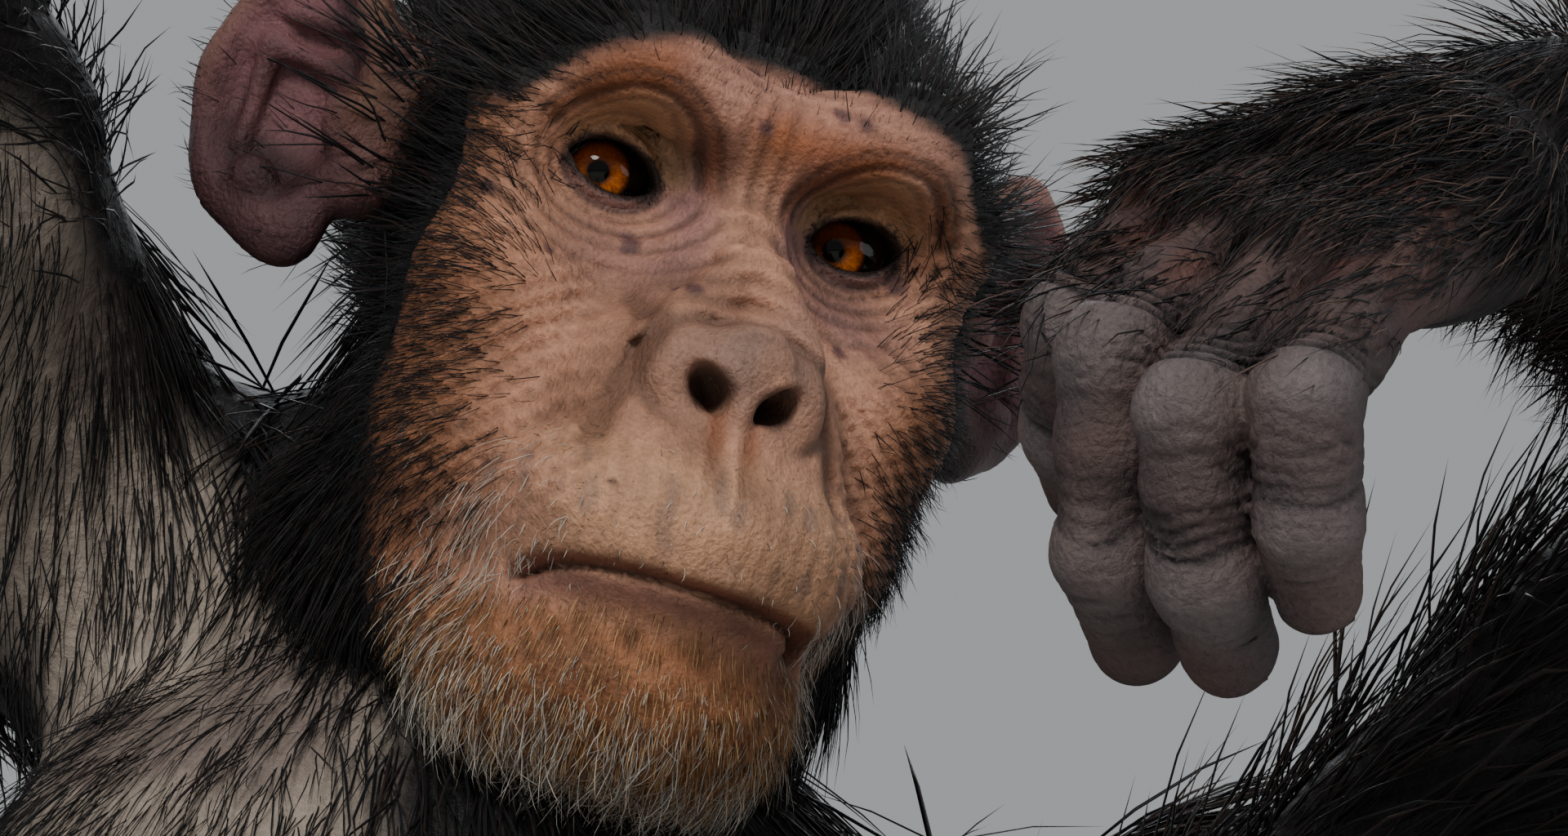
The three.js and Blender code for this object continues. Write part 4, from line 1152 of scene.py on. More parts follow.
class Tones:
    """The markings of skin and coat as functions of place, with painted shade in creases, folds, pits and the
    mouth line and painted highlights on crease ridges and ear rims.
    """

    TAN, LIP, BROW = colour("b4836a"), colour("bd9070"), colour("8a4a1f")
    CHEEK, MAUVE, NOSE = colour("8c5c40"), colour("7d5c63"), colour("7f675d")
    # The dark rim colour is the lid rims' own colour and also painted shade in the mouth line, the nostrils
    # and the folds round the eyes.
    CHIN, RIM, VERMILION = colour("8d5a38"), colour("1f1413"), colour("7d4433")
    FOREHEAD, LID, LOWER_LIP = colour("b07f6c"), colour("b18a68"), colour("9a6a62")
    EAR, EAR_FOLD, DARK = colour("7c5357"), colour("3c2226"), colour("141113")
    HAND, PAD, PALM = colour("54423f"), colour("716868"), colour("33272a")
    REDDISH, PALE, NIPPLE = colour("6a3c30"), colour("a3968a"), colour("473438")
    BLACK, BROWN, WHITE = colour("0b0a0c"), colour("2a1d17"), colour("cfc8bd")
    FRECKLE = colour("4b3138")
    FRECKLES = ((-38, 22, 1.6), (-3, 27, 1.5), (11, 21, 1.8), (16, 20, 1.6), (36, -4, 2.6), (20, -26, 2.2),
                (-3, 14, 1.5), (-49, -11, 1.8), (-36, -21, 1.2), (-30, -27, 1.0), (-24, 31, 1.2),
                (-11, 28, 1.1), (-20, -14, 2.2), (-12, -23, 1.4), (26, -22, 1.4), (-22, -66, 1.0),
                (8, -62, 0.8), (-35, 30, 1.0))

    def ear_share(self, p: Array) -> Array:
        """How much each point of the head belongs to an ear."""
        x, y, z = np.abs(p[:, 0]), p[:, 1], p[:, 2]
        return ramp(46, 62, x) * ramp(24, 44, y) * ramp(-36, -26, z) * ramp(44, 36, z)

    def coated(self, p: Array) -> Array:
        """How thick the black hair grows at points of the head, from 0 to 1.

        Args:
            p: The points.

        Returns:
            A share for each point.
        """
        x, y, z = np.abs(p[:, 0]), p[:, 1], p[:, 2]
        top = 28.5 - 0.0068 * x ** 2 - 6 * ramp(36, 52, x) + 0.8 * waves(p, 14, 51)
        crown = np.maximum(ramp(top - 2, top + 2.5, z) * ramp(-2, 10, z), ramp(24, 30, y) * ramp(0, 20, z))
        flank = ramp(4, 20, y + 0.22 * (x - 48) + 2.0 * waves(p, 15, 52))
        throat = ramp(-112, -122, z) * ramp(-14, 2, y)
        return np.clip(np.maximum(np.maximum(crown, flank), throat), 0, 1)

    def face(self, p: Array) -> Array:
        """Skin colours at points of the head's frame, with painted shade in creases, nostrils, the mouth line
        and the lower ears, and painted highlights on crease ridges and ear rims.

        Args:
            p: The points.

        Returns:
            A colour for each point.
        """
        x, y, z = p.T
        front = ramp(16, -4, y)
        mottle = 0.5 + 0.5 * waves(p, 20, 61)
        tone = mix(self.TAN, self.FOREHEAD, ramp(6, 20, z))
        brow_glow = bell(z - 13.5 - 2 * waves(p, 24, 64), 7) * ramp(46, 34, np.abs(x)) * front
        tone = mix(tone, self.BROW, 0.85 * brow_glow * ramp(0.1, 0.75, mottle))
        cheek = ramp(24, 42, np.abs(x) + 0.3 * y) * ramp(-10, -30, z) * ramp(-98, -80, z)
        tone = mix(tone, self.CHEEK, 0.9 * cheek * (0.7 + 0.4 * mottle))
        tone = mix(tone, self.CHEEK, 0.8 * ramp(38, 52, np.abs(x) + 0.3 * y))
        for s in (1, -1):
            under = bell(np.hypot((x - s * 22) / 16, (z + 16) / 8), 1) * front
            inner = bell(np.hypot((x - s * 11) / 5, (z + 3) / 12), 1) * front
            # The cheek's brown carried along the crease beside the muzzle, as painted shade in that crease.
            fold = bell(np.abs(x) - 19 - 0.3 * np.maximum(-z - 34, 0), 3)
            fold = fold * ramp(-24, -34, z) * ramp(-62, -50, z)
            tone = mix(tone, self.MAUVE, 0.6 * under * ramp(0.15, 0.7, mottle))
            tone = mix(tone, self.MAUVE, 0.7 * inner)
            tone = mix(tone, self.CHEEK, 0.3 * fold * front)
        nose = bell(np.hypot(x / 19, (z + 36) / 14), 1) * front
        tone = mix(tone, self.NOSE, 0.85 * nose * ramp(0.0, 0.6, mottle))
        lip = ramp(-50, -60, z) * ramp(-86, -80, z) * ramp(36, 24, np.abs(x))
        tone = mix(tone, self.LIP, 0.8 * lip * front)
        speckle = ramp(0.55, 1.1, waves(p * (2.2, 1, 0.8), 7, 65)) * ramp(-54, -60, z) * ramp(-80, -74, z)
        tone = mix(tone, self.NOSE, 0.55 * speckle * front)
        tone = mix(tone, self.CHIN, 0.85 * ramp(-86, -93, z) * front)
        along, height = HEAD.mouth_line(x, y)
        within = ramp(1.12, 0.95, np.abs(along)) * front
        tone = mix(tone, self.LOWER_LIP, 0.6 * bell(z - height + 3.0, 2.2) * within)
        upper = ramp(-0.5, 0.3, z - height) * ramp(2.3, 1.0, z - height)
        tone = mix(tone, self.VERMILION, 0.85 * upper * within)
        # Painted shade: a dark line in the slit between the lips.
        tone = mix(tone, self.RIM, 0.8 * bell(z - height, 0.55) * within)
        # Painted shade and light: the skin is darker in the fine creases and lighter on the ridges between
        # them.
        tone = tone * (1 + 0.55 * np.clip(HEAD.creases(p), -0.9, 0.35))[:, None]
        tone = self._eye_marks(tone, p, front)
        for fx, fz, r in self.FRECKLES:
            spot = np.hypot(x - fx, z - fz) + 0.35 * waves(p, 3, 66)
            tone = mix(tone, self.FRECKLE, 0.8 * ramp(r * 1.3, r * 0.5, spot) * ramp(14, 4, y))
        # Painted shade: dark in the nostril pits.
        for s in (1, -1):
            pit = np.hypot((x - s * 6.5) / 5.2, (z + 42.8) / 4.8)
            tone = mix(tone, self.RIM, 0.7 * ramp(1.05, 0.6, pit) * front)
        # Painted shade: darker orange-brown in the grooves beside the septum, under the nose.
        tone = mix(tone, self.BROW, 0.6 * bell(np.abs(x) - 3.6, 2.0) * bell(z + 50.5, 5) * front)
        ear = self.ear_share(p)
        tone = mix(tone, mix(self.EAR, self.EAR_FOLD, ramp(-0.6, 1.2, waves(p, 12, 63))), ear)
        # Painted shade: each ear darkens towards its lower part.
        tone = mix(tone, self.EAR_FOLD * 0.6, 0.75 * ear * ramp(4, -22, z + 4 * waves(p, 16, 65)))
        # Painted highlight: a paler band along the upper rim of each ear.
        for side in Side:
            q = HEAD.ear_place(p, side)
            rim = np.hypot(q[:, 0] / 19, q[:, 2] / 29)
            tone = mix(tone, self.TAN * 0.75, 0.55 * ear * bell(rim - 1.0, 0.14) * ramp(-12, 4, q[:, 2]))
        return mix(tone, self.DARK, self.coated(p) * (1 - ear))

    def _eye_marks(self, tone: Array, p: Array, front: Array) -> Array:
        """Colours with each eye's pale lid and dark rims added, with painted shade in the creases round the
        eye and under the lower lid.

        Args:
            tone: The colours before.
            p: The points.
            front: How far each point faces forward.

        Returns:
            A colour for each point.
        """
        for side in Side:
            across, up, deep = HEAD.eye(p, side)
            reach = np.hypot(across * 0.86, up)
            above, below = ramp(-1, 3, up), ramp(1, -3, up)
            tone = mix(tone, self.LID, 0.75 * above * ramp(13.5, 11, reach) * front)
            # Painted shade: a dark band in the crease above the lid.
            tone = mix(tone, self.BROW * 0.5, 0.75 * above * bell(reach - 15.5, 1.8) * front)
            shade = ramp(9.2, 7.2, np.hypot(across * 0.72, up))
            tone = mix(tone, self.MAUVE * 0.7, 0.6 * below * shade * front)
            ring = np.hypot(across / (HEAD.fissure_half + 0.9), up / (HEAD.fissure_height + 0.7))
            tone = mix(tone, self.RIM, 0.95 * ramp(1.08, 0.97, ring) * ramp(2, -3, deep))
            # Painted shade: darker in the deep folds round the eye.
            tone = mix(tone, self.RIM, 0.5 * ramp(-0.1, -0.6, HEAD.folds(across, up, deep)) * front)
            # Painted shade: a dark line in the first fold under the eye.
            line = np.hypot(across * 0.8, up) - 8.4
            tone = mix(tone, self.RIM, 0.6 * below * bell(line, 0.5) * front)
        return tone

    def hand(self, p: Array, joints: list, side: Side, rise: Array) -> Array:
        """Skin colours on a hand, with paler pads over the knuckles and painted shade in the deep wrinkles.

        Args:
            p: The points.
            joints: Each digit's joints and radius.
            side: Which side.
            rise: The creases' rise.

        Returns:
            A colour for each point.
        """
        mottle = 0.5 + 0.5 * waves(p, 13, 71)
        tone = mix(self.HAND, self.PALM, 0.8 * mottle)
        knuckles = np.mean([points[0] for points, _ in joints[:4]], axis=0)
        webs = bell(np.linalg.norm(p - knuckles, axis=1) / 34, 1)
        tone = mix(tone, self.REDDISH, 0.75 * webs * ramp(0.1, 0.8, waves(p, 11, 72)))
        for points, r in joints:
            for k in (1, 2):
                outer = unit(unit(points[k] - points[k - 1]) - unit(points[k + 1] - points[k]))
                near = np.linalg.norm(p - points[k] - outer * r * 0.8, axis=1)
                tone = mix(tone, self.PAD, 0.85 * bell(near / (r * 1.2), 1) * (0.6 + 0.5 * mottle))
            after = np.linalg.norm(p - lerp(points[1], points[2], 0.55), axis=1)
            tone = mix(tone, self.PALM * 0.8, 0.6 * bell(after / (r * 1.3), 1) * mottle)
        # Painted shade: dark in the deep wrinkles, where the creases' rise is low.
        tone = mix(tone, self.DARK, 0.8 * ramp(-0.15, -0.9, rise))
        wrist, elbow = place(f"wrist_{side.word}"), place(f"elbow_{side.word}")
        up_arm = (p - wrist) @ unit(elbow - wrist)
        return mix(tone, self.DARK, 0.9 * ramp(-62, -30, up_arm))

    def bare_chest(self, p: Array) -> Array:
        """How far the coat thins out over the right flank and armpit and the belly, from 0 to 1.

        Args:
            p: The points.

        Returns:
            A share for each point.
        """
        x, y, z = p.T
        edge = -68 - 0.75 * np.maximum(z - 365, 0) + 5 * waves(p, 34, 81)
        flank = ramp(edge + 9, edge - 9, x) * ramp(112, 84, y) * ramp(170, 250, z) * ramp(450, 436, z)
        belly = 0.5 * ramp(60, 10, y) * ramp(96, 128, z) * ramp(255, 215, z)
        belly = belly * ramp(74, 36, np.abs(x + 45) + 12 * waves(p, 45, 83))
        return np.clip(np.maximum(flank * ramp(-172, -150, x), belly), 0, 1)

    def body(self, p: Array) -> Array:
        """Skin colours on trunk and limbs.

        Args:
            p: The points.

        Returns:
            A colour for each point.
        """
        bare = self.bare_chest(p)
        tone = mix(self.DARK, self.PALE, 0.92 * bare)
        return mix(tone, self.NIPPLE, 0.5 * ramp(0.4, 1.0, waves(p, 26, 82)) * bare)


HEAD = HeadShape()
TONES = Tones()


@dataclass
class Skin:
    """A piece of the one skin, kept for what grows on it."""

    name: str
    points: Array
    faces: Array
    tones: Array
    slot: Slot
    finish: SkinFinish
    nodes: tuple = ()

    def build(self) -> Piece:
        """Makes and dresses the piece.

        Returns:
            The dressed piece.
        """
        made = new_object(self.name, FRAMES.metres(self.points), self.faces, self.tones)
        dress(made, self.finish.material(), self.slot, self.nodes)
        LOG.info("%s: %d faces", self.name, len(self.faces))
        return made

    def triangles(self) -> Array:
        """Three corner numbers for each half of each face."""
        return np.concatenate([self.faces[:, (0, 1, 2)], self.faces[:, (0, 2, 3)]])

    def areas(self) -> Array:
        """The area of each triangle in square millimetres."""
        a, b, c = (self.points[self.triangles()[:, k]] for k in range(3))
        return np.linalg.norm(np.cross(b - a, c - a), axis=1) / 2

    def normals(self) -> Array:
        """The outward direction at each point.

        Returns:
            A direction for each point.
        """
        tris = self.triangles()
        a, b, c = (self.points[tris[:, k]] for k in range(3))
        flat = np.cross(b - a, c - a)
        total = np.zeros_like(self.points)
        for k in range(3):
            np.add.at(total, tris[:, k], flat)
        return unit(total)


@dataclass
class HeadSkin:
    """The skin of head, face and ears, on a net that is close on the face."""

    shape: HeadShape
    cell: float = 1.07
    coarse: float = 3.2
    finish: SkinFinish = SkinFinish("face_skin", 0.5, 1100, 520, 0.0004, 0.1, (1.0, 1.0, 0.55),
                                    (0.0, math.radians(-HEAD_ROLL), 0.0))

    def build(self) -> Skin:
        """Makes the head's skin in animal millimetres.

        Returns:
            The skin, not yet in the scene.
        """
        axes = [grid_lines(-98, 98, -58, 58, self.cell, self.coarse * 0.55),
                grid_lines(-74, 150, -68, 26, self.cell, self.coarse),
                grid_lines(-132, 82, -120, 42, self.cell, self.coarse)]
        points, faces = net(self.shape.distance, axes)
        tones = TONES.face(points)
        return Skin("skin_head", FRAMES.from_head(points), faces, tones, Slot.FACE, self.finish,
                    ("head", "ear_left", "ear_right"))


@dataclass
class HandSkin:
    """The skin of one hand and its wrist."""

    shape: HandShape
    cell: float
    finish: SkinFinish = SkinFinish("hand_skin", 0.52, 900, 420, 0.0006, 0.05)

    def build(self) -> Skin:
        """Makes the hand's skin in animal millimetres.

        Returns:
            The skin, not yet in the scene.
        """
        word = self.shape.side.word
        wrist, elbow = place(f"wrist_{word}"), place(f"elbow_{word}")
        corners = [j for joints in FINGERS[word].values() for j in joints]
        corners = np.array(corners + [wrist, lerp(wrist, elbow, 0.3)])
        axes = [np.arange(corners[:, k].min() - 30, corners[:, k].max() + 30, self.cell) for k in range(3)]
        points, faces = net(self.shape.distance, axes)
        tones = TONES.hand(points, self.shape.bends, self.shape.side, self.shape.creases(points))
        nodes = (f"hand_{word}", f"thumb_{word}") + tuple(
            f"{name}_finger_{word}" for name in ("index", "middle", "ring", "little"))
        return Skin(f"skin_hand_{word}", points, faces, tones, Slot.SKIN, self.finish, nodes)


@dataclass
class FootSkin:
    """The skin of one foot and its ankle."""

    shape: FootShape
    cell: float = 2.5
    finish: SkinFinish = SkinFinish("foot_skin", 0.58, 800, 200, 0.0009, 0.06)

    def build(self) -> Skin:
        """Makes the foot's skin in animal millimetres.

        Returns:
            The skin, not yet in the scene.
        """
        word = self.shape.side.word
        ankle = place(f"ankle_{word}")
        axes = [np.arange(ankle[k] - 165, ankle[k] + 90, self.cell) for k in range(2)]
        axes.append(np.arange(-6, ankle[2] + 92, self.cell))
        points, faces = net(self.shape.distance, axes)
        points[:, 2] = np.maximum(points[:, 2], 0.3)
        mottle = 0.5 + 0.5 * waves(points, 14, 91)
        tones = mix(TONES.HAND, TONES.PALM, mottle)
        nodes = (f"foot_{word}", f"big_toe_{word}") + tuple(f"toe_{k}_{word}" for k in (2, 3, 4, 5))
        return Skin(f"skin_foot_{word}", points, faces, tones, Slot.SKIN, self.finish, nodes)


@dataclass
class BodySkin:
    """The skin of trunk, neck, arms and legs."""

    shape: BodyShape
    cell: float = 4.6
    finish: SkinFinish = SkinFinish("body_skin", 0.6, 700, 120, 0.0012, 0.05)

    def build(self) -> Skin:
        """Makes the body's skin in animal millimetres.

        Returns:
            The skin, not yet in the scene.
        """
        axes = [np.arange(low, high, self.cell) for low, high in ((-355, 345), (-335, 190), (-12, 625))]
        points, faces = net(self.shape.distance, axes, 3)
        points[:, 2] = np.maximum(points[:, 2], 0.4)
        nodes = ["torso", "neck"]
        for side in Side:
            nodes += [f"{part}_{side.word}" for part in ("upper_arm", "forearm", "thigh", "shin")]
        return Skin("skin_body", points, faces, TONES.body(points), Slot.SKIN, self.finish, tuple(nodes))


@dataclass
class Eye:
    """One eyeball with dark white, amber iris and pupil, looking at the camera."""

    side: Side
    gaze: Array
    iris: float = 6.3
    pupil: float = 2.1
    sectors: int = 60
    rings: int = 48

    def build(self) -> Piece:
        """Makes and dresses the eye.

        Returns:
            The dressed piece.
        """
        tilt = np.linspace(0, 1, self.rings + 1) ** 1.5 * math.pi
        turn = np.arange(self.sectors) * 2 * math.pi / self.sectors
        forward = unit(self.gaze)
        aside = unit(np.cross((0, 0, 1), forward))
        up = np.cross(forward, aside)
        a, b = np.meshgrid(tilt[1:-1], turn, indexing="ij")
        local = np.stack([np.sin(a) * np.cos(b), np.sin(a) * np.sin(b), np.cos(a)], -1).reshape(-1, 3)
        local = np.concatenate([local, [(0, 0, 1), (0, 0, -1)]])
        radius = EYE_RADIUS - 0.15 + 0.75 * bell(np.arccos(np.clip(local[:, 2], -1, 1)), 0.5)
        basis = np.stack([aside, up, forward])
        centre = FRAMES.from_head(np.array((self.side.value * EYE_SPREAD, EYE_SET_BACK, 0)))
        points = centre + (local * radius[:, None]) @ basis
        k, j = self.sectors, np.arange(self.sectors)
        beside = (j + 1) % k
        rings = [np.stack([j, k + j, k + beside, beside], -1) + i * k for i in range(self.rings - 2)]
        quads = np.concatenate(rings)
        last, start = len(local) - 1, (self.rings - 2) * k
        front = np.stack([np.full(k, last - 1), j, beside], -1)
        back = np.stack([np.full(k, last), start + beside, start + j], -1)
        tris = np.concatenate([quads[:, (0, 1, 2)], quads[:, (0, 2, 3)], front, back])
        made = new_object(f"eye_{self.side.word}_wet", FRAMES.metres(points), tris, self._tones(local))
        angle = np.arctan2(local[:, 1], local[:, 0])
        reach = np.hypot(local[:, 0], local[:, 1])
        fibre = np.stack([np.cos(angle), np.sin(angle), reach * 1.4], -1)
        layer = made.data.attributes.new("Fibre", "FLOAT_VECTOR", "POINT")
        layer.data.foreach_set("vector", fibre.astype(np.float32).ravel())
        finish = EyeFinish(f"eye_finish_{self.side.word}")
        dress(made, finish.material(), Slot.EYE, (f"eye_{self.side.word}",))
        LOG.info("eye_%s_wet: %d faces", self.side.word, len(tris))
        return made

    def _tones(self, local: Array) -> Array:
        """The eye's colours from pupil to the white's edge, with painted lid shade over the top of the iris
        and a painted glow low in it.

        Args:
            local: Directions from the centre, z along the gaze.

        Returns:
            A colour for each point.
        """
        reach = np.hypot(local[:, 0], local[:, 1]) * EYE_RADIUS
        reach = np.where(local[:, 2] > 0, reach, 2 * EYE_RADIUS)
        amber, rust, dark = colour("b5600f"), colour("4a1d07"), colour("0c0504")
        white, black = colour("20110c"), colour("020202")
        # Painted light: the amber of the iris turns to rust towards the top as painted shade under the upper
        # lid, and is brightest low down as a painted glow.
        painted_lid_shade_and_glow = np.clip(0.45 - 2.4 * local[:, 1], 0.06, 1)
        tone = mix(rust, amber, bell(reach - 3.9, 1.7) * painted_lid_shade_and_glow)
        tone = mix(tone, dark, ramp(self.iris - 1.1, self.iris - 0.1, reach))
        tone = mix(tone, white, ramp(self.iris + 0.2, self.iris + 2.4, reach) * 0.8)
        return mix(tone, black, ramp(self.pupil + 0.5, self.pupil - 0.2, reach))


@dataclass
class Nails:
    """A curved nail on the back of each finger and toe tip."""

    side: Side
    kind: str
    tips: list
    rows: int = 7
    columns: int = 9
    thickness: float = 0.9

    def build(self) -> Piece:
        """Makes one closed plate for each tip, joined as one piece.

        Returns:
            The dressed piece.
        """
        points, faces = [], []
        for tip, along, outward, r in self.tips:
            across = unit(np.cross(along, outward))
            s, t = np.meshgrid(np.linspace(-1, 1, self.rows), np.linspace(-1, 1, self.columns), indexing="ij")
            sheets = []
            for deep in (0.0, self.thickness):
                angle = t * 1.05 * (1 - 0.1 * ramp(0.4, 1, s))
                arc = np.sin(angle)[..., None] * across + np.cos(angle)[..., None] * outward
                arc = arc * (r * 1.04 - deep)
                arc = arc - outward * (0.05 * r * (1 + s) ** 1.5)[..., None]
                sheets.append(tip + along * (s * r * 0.72)[..., None] + arc)
            grid = np.arange(self.rows * self.columns).reshape(self.rows, self.columns)
            upper = np.stack([grid[:-1, :-1], grid[:-1, 1:], grid[1:, 1:], grid[1:, :-1]], -1).reshape(-1, 4)
            lower = upper[:, ::-1] + grid.size
            rim = np.concatenate([grid[0, :], grid[1:, -1], grid[-1, -2::-1], grid[-2:0:-1, 0]])
            beyond = np.roll(rim, -1)
            wall = np.stack([beyond, rim, rim + grid.size, beyond + grid.size], -1)
            base = sum(len(block) for block in points)
            points.append(np.concatenate([sheet.reshape(-1, 3) for sheet in sheets]))
            faces.append(np.concatenate([upper, lower, wall]) + base)
        points, faces = np.concatenate(points), np.concatenate(faces)
        tones = mix(colour("3b302b"), colour("1f1916"), 0.5 + 0.5 * waves(points, 8, 95))
        name = f"nails_{self.kind}_{self.side.word}"
        made = new_object(name, FRAMES.metres(points), faces, tones)
        dress(made, NailFinish(f"{name}_horn").material(), Slot.SKIN)
        LOG.info("%s: %d faces", name, len(faces))
        return made


@dataclass
class Roots:
    """Where locks grow and how each one lies, one row for each lock, in animal millimetres."""

    points: Array
    normals: Array
    flow: Array
    length: Array
    width: Array
    lift: Array
    tones: Array
    gather: float = 6.0
    curl: float = 0.1

    def part(self, keep: Array) -> "Roots":
        """The rows where keep holds."""
        rows = [self.points, self.normals, self.flow, self.length, self.width, self.lift, self.tones]
        return Roots(*[row[keep] for row in rows], self.gather, self.curl)


def scatter(skin: Skin, density: Array, count: int, seed: int) -> tuple[Array, Array]:
    """Draws places on a skin.

    Args:
        skin: The skin to grow on.
        density: How densely locks grow at each of the skin's points.
        count: How many places to draw.
        seed: Fixes the draw.

    Returns:
        The places and the outward directions there.
    """
    rng = np.random.default_rng(seed)
    tris = skin.triangles()
    weight = skin.areas() * density[tris].mean(1)
    picks = rng.choice(len(tris), count, p=weight / weight.sum())
    share = rng.dirichlet((1, 1, 1), count)
    normals = skin.normals()
    spots = np.einsum("ij,ijk->ik", share, skin.points[tris[picks]])
    return spots, unit(np.einsum("ij,ijk->ik", share, normals[tris[picks]]))


def unwrap(roots: Array) -> Array:
    """Each root's place on an unwrap of the round skin below, seen from inside it.

    Args:
        roots: Where the hairs grow.

    Returns:
        Two shares for each root.
    """
    q = roots - roots.mean(0)
    _, _, axes = np.linalg.svd(q[:: max(1, len(q) // 2000)], full_matrices=False)
    local = q @ axes.T
    around = np.arctan2(local[:, 2], local[:, 1]) / (2 * math.pi) + 0.5
    ahead = (local[:, 0] - local[:, 0].min()) / max(float(np.ptp(local[:, 0])), 1e-6)
    return 0.01 + 0.98 * np.stack([around, ahead], -1)


@dataclass
class Coat:
    """Thin tapered locks that follow the coat's lie, as one joined mesh."""

    name: str
    roots: Roots
    segments: int = 4
    seed: int = 1
    slot: Slot = Slot.COAT
    droop: float = 0.25
    stray: float = 0.1
    bundle: float = 0.4

    def _spine(self, rng: np.random.Generator) -> tuple[Array, Array, Array]:
        """The middle line of each lock.

        Args:
            rng: The source of each lock's own bend.

        Returns:
            Points along each lock, their sideways directions and their outward directions.
        """
        roots = self.roots
        n = len(roots.points)
        flow = roots.flow - roots.normals * np.einsum("ij,ij->i", roots.flow, roots.normals)[:, None]
        flow = unit(flow + self.stray * rng.normal(size=(n, 3)))
        side = unit(np.cross(flow, roots.normals))
        stations = np.linspace(0, 1, self.segments + 1)
        bend = rng.normal(0, roots.curl, n)
        sway = rng.normal(0, roots.curl * 0.6, n)
        points = [roots.points - roots.normals * 0.7]
        for before, after in zip(stations[:-1], stations[1:]):
            middle = (before + after) / 2
            lift = (roots.lift * (1 - 0.75 * middle) - 0.08 * middle)[:, None]
            turn = (bend * (middle - 0.3) + sway * math.sin(middle * 5))[:, None]
            step = unit(flow * np.cos(lift) + roots.normals * np.sin(lift) + side * turn
                        + np.array((0, 0, -1)) * self.droop * middle * roots.length[:, None] / 60)
            points.append(points[-1] + step * ((after - before) * roots.length)[:, None])
        points = np.stack(points, 1)
        bundle = np.floor(roots.points / roots.gather + rng.uniform(-0.2, 0.2, (n, 3))).astype(np.int64)
        _, bundle = np.unique(bundle, axis=0, return_inverse=True)
        bundle = bundle.ravel()
        size = np.bincount(bundle)
        middle = np.stack([np.bincount(bundle, roots.points[:, k]) / size for k in range(3)], -1)
        pull = (middle[bundle] - roots.points)[:, None, :] * (self.bundle * stations[None, :, None] ** 1.6)
        return points + pull, side, roots.normals

    def _within_box(self, locks: Array) -> Array:
        """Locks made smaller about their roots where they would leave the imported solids' box.

        Args:
            locks: Each lock's corners in metres.

        Returns:
            The corners inside the box.
        """
        low, high = (np.array(corner, float) for corner in CAD_BOX)
        low, high = low + CLEARANCE, high - CLEARANCE
        root = np.clip(locks[:, :1], low, high)
        reach = locks - root
        room = np.where(reach > 0, high - root, low - root)
        share = np.where(np.abs(reach) > np.abs(room), room / np.where(reach == 0, 1, reach), 1.0)
        return np.clip(root + reach * share.min((1, 2))[:, None, None], low, high)

    def build(self) -> Piece:
        """Makes and dresses the locks.

        Returns:
            The dressed piece.
        """
        rng = np.random.default_rng(self.seed)
        points, side, out = self._spine(rng)
        n, rows = len(points), self.segments
        taper = np.array([0.75, 1.0, 0.86, 0.62, 0.4, 0.25])[:rows] * 0.5
        width = self.roots.width[:, None] * taper[None]
        turn = rng.uniform(-0.8, 0.8, n)[:, None]
        flat = side * np.cos(turn) + out * np.sin(turn)
        high = out * np.cos(turn) - side * np.sin(turn)
        core = points[:, :rows]
        left = core + flat[:, None] * width[..., None]
        right = core - flat[:, None] * width[..., None]
        top = core + high[:, None] * (width * 0.8)[..., None]
        rings = np.stack([left, top, right], 2).reshape(n, rows * 3, 3)
        corners = np.concatenate([rings, points[:, rows:]], 1)
        placed = self._within_box(FRAMES.metres(corners)).reshape(-1, 3)
        faces = []
        for i in range(rows - 1):
            for k in range(3):
                a, b = i * 3 + k, i * 3 + (k + 1) % 3
                faces += [(a, b, b + 3), (a, b + 3, a + 3)]
        last = (rows - 1) * 3
        faces += [(last + k, last + (k + 1) % 3, rows * 3) for k in range(3)] + [(2, 1, 0)]
        pattern = np.array(faces)
        per = rows * 3 + 1
        tris = (pattern[None] + (np.arange(n) * per)[:, None, None]).reshape(-1, 3)
        fade = np.append(np.repeat(np.linspace(0.75, 1.2, rows), 3), 1.35)
        tones = np.clip(self.roots.tones[:, None] * fade[None, :, None], 0, 1).reshape(-1, 3)
        made = new_object(self.name, placed, tris, tones)
        self._map(made, tris)
        dress(made, COAT_FINISHES[self.slot].material(), self.slot)
        LOG.info("%s: %d locks, %d triangles", self.name, n, len(tris))
        return made

    def _map(self, made: Piece, tris: Array) -> None:
        """Gives each lock its small patch of the unwrap.

        Args:
            made: The piece.
            tris: Its faces.
        """
        rows = self.segments
        along = np.append(np.repeat(np.linspace(-1, 0.7, rows), 3), 1.0)
        across = np.append(np.tile((-1, 0, 1), rows), 0.0)
        patch = np.stack([across, along], -1) * 0.0015
        where = (unwrap(self.roots.points)[:, None] + patch).reshape(-1, 2)
        layer = made.data.uv_layers.new(name="OFBake")
        layer.data.foreach_set("uv", where[tris.ravel()].astype(np.float32).ravel())


COAT_FINISHES = {Slot.COAT: HairFinish("coat_hair"), Slot.FACE: HairFinish("face_hair", 0.5, 0.3, 0.05)}


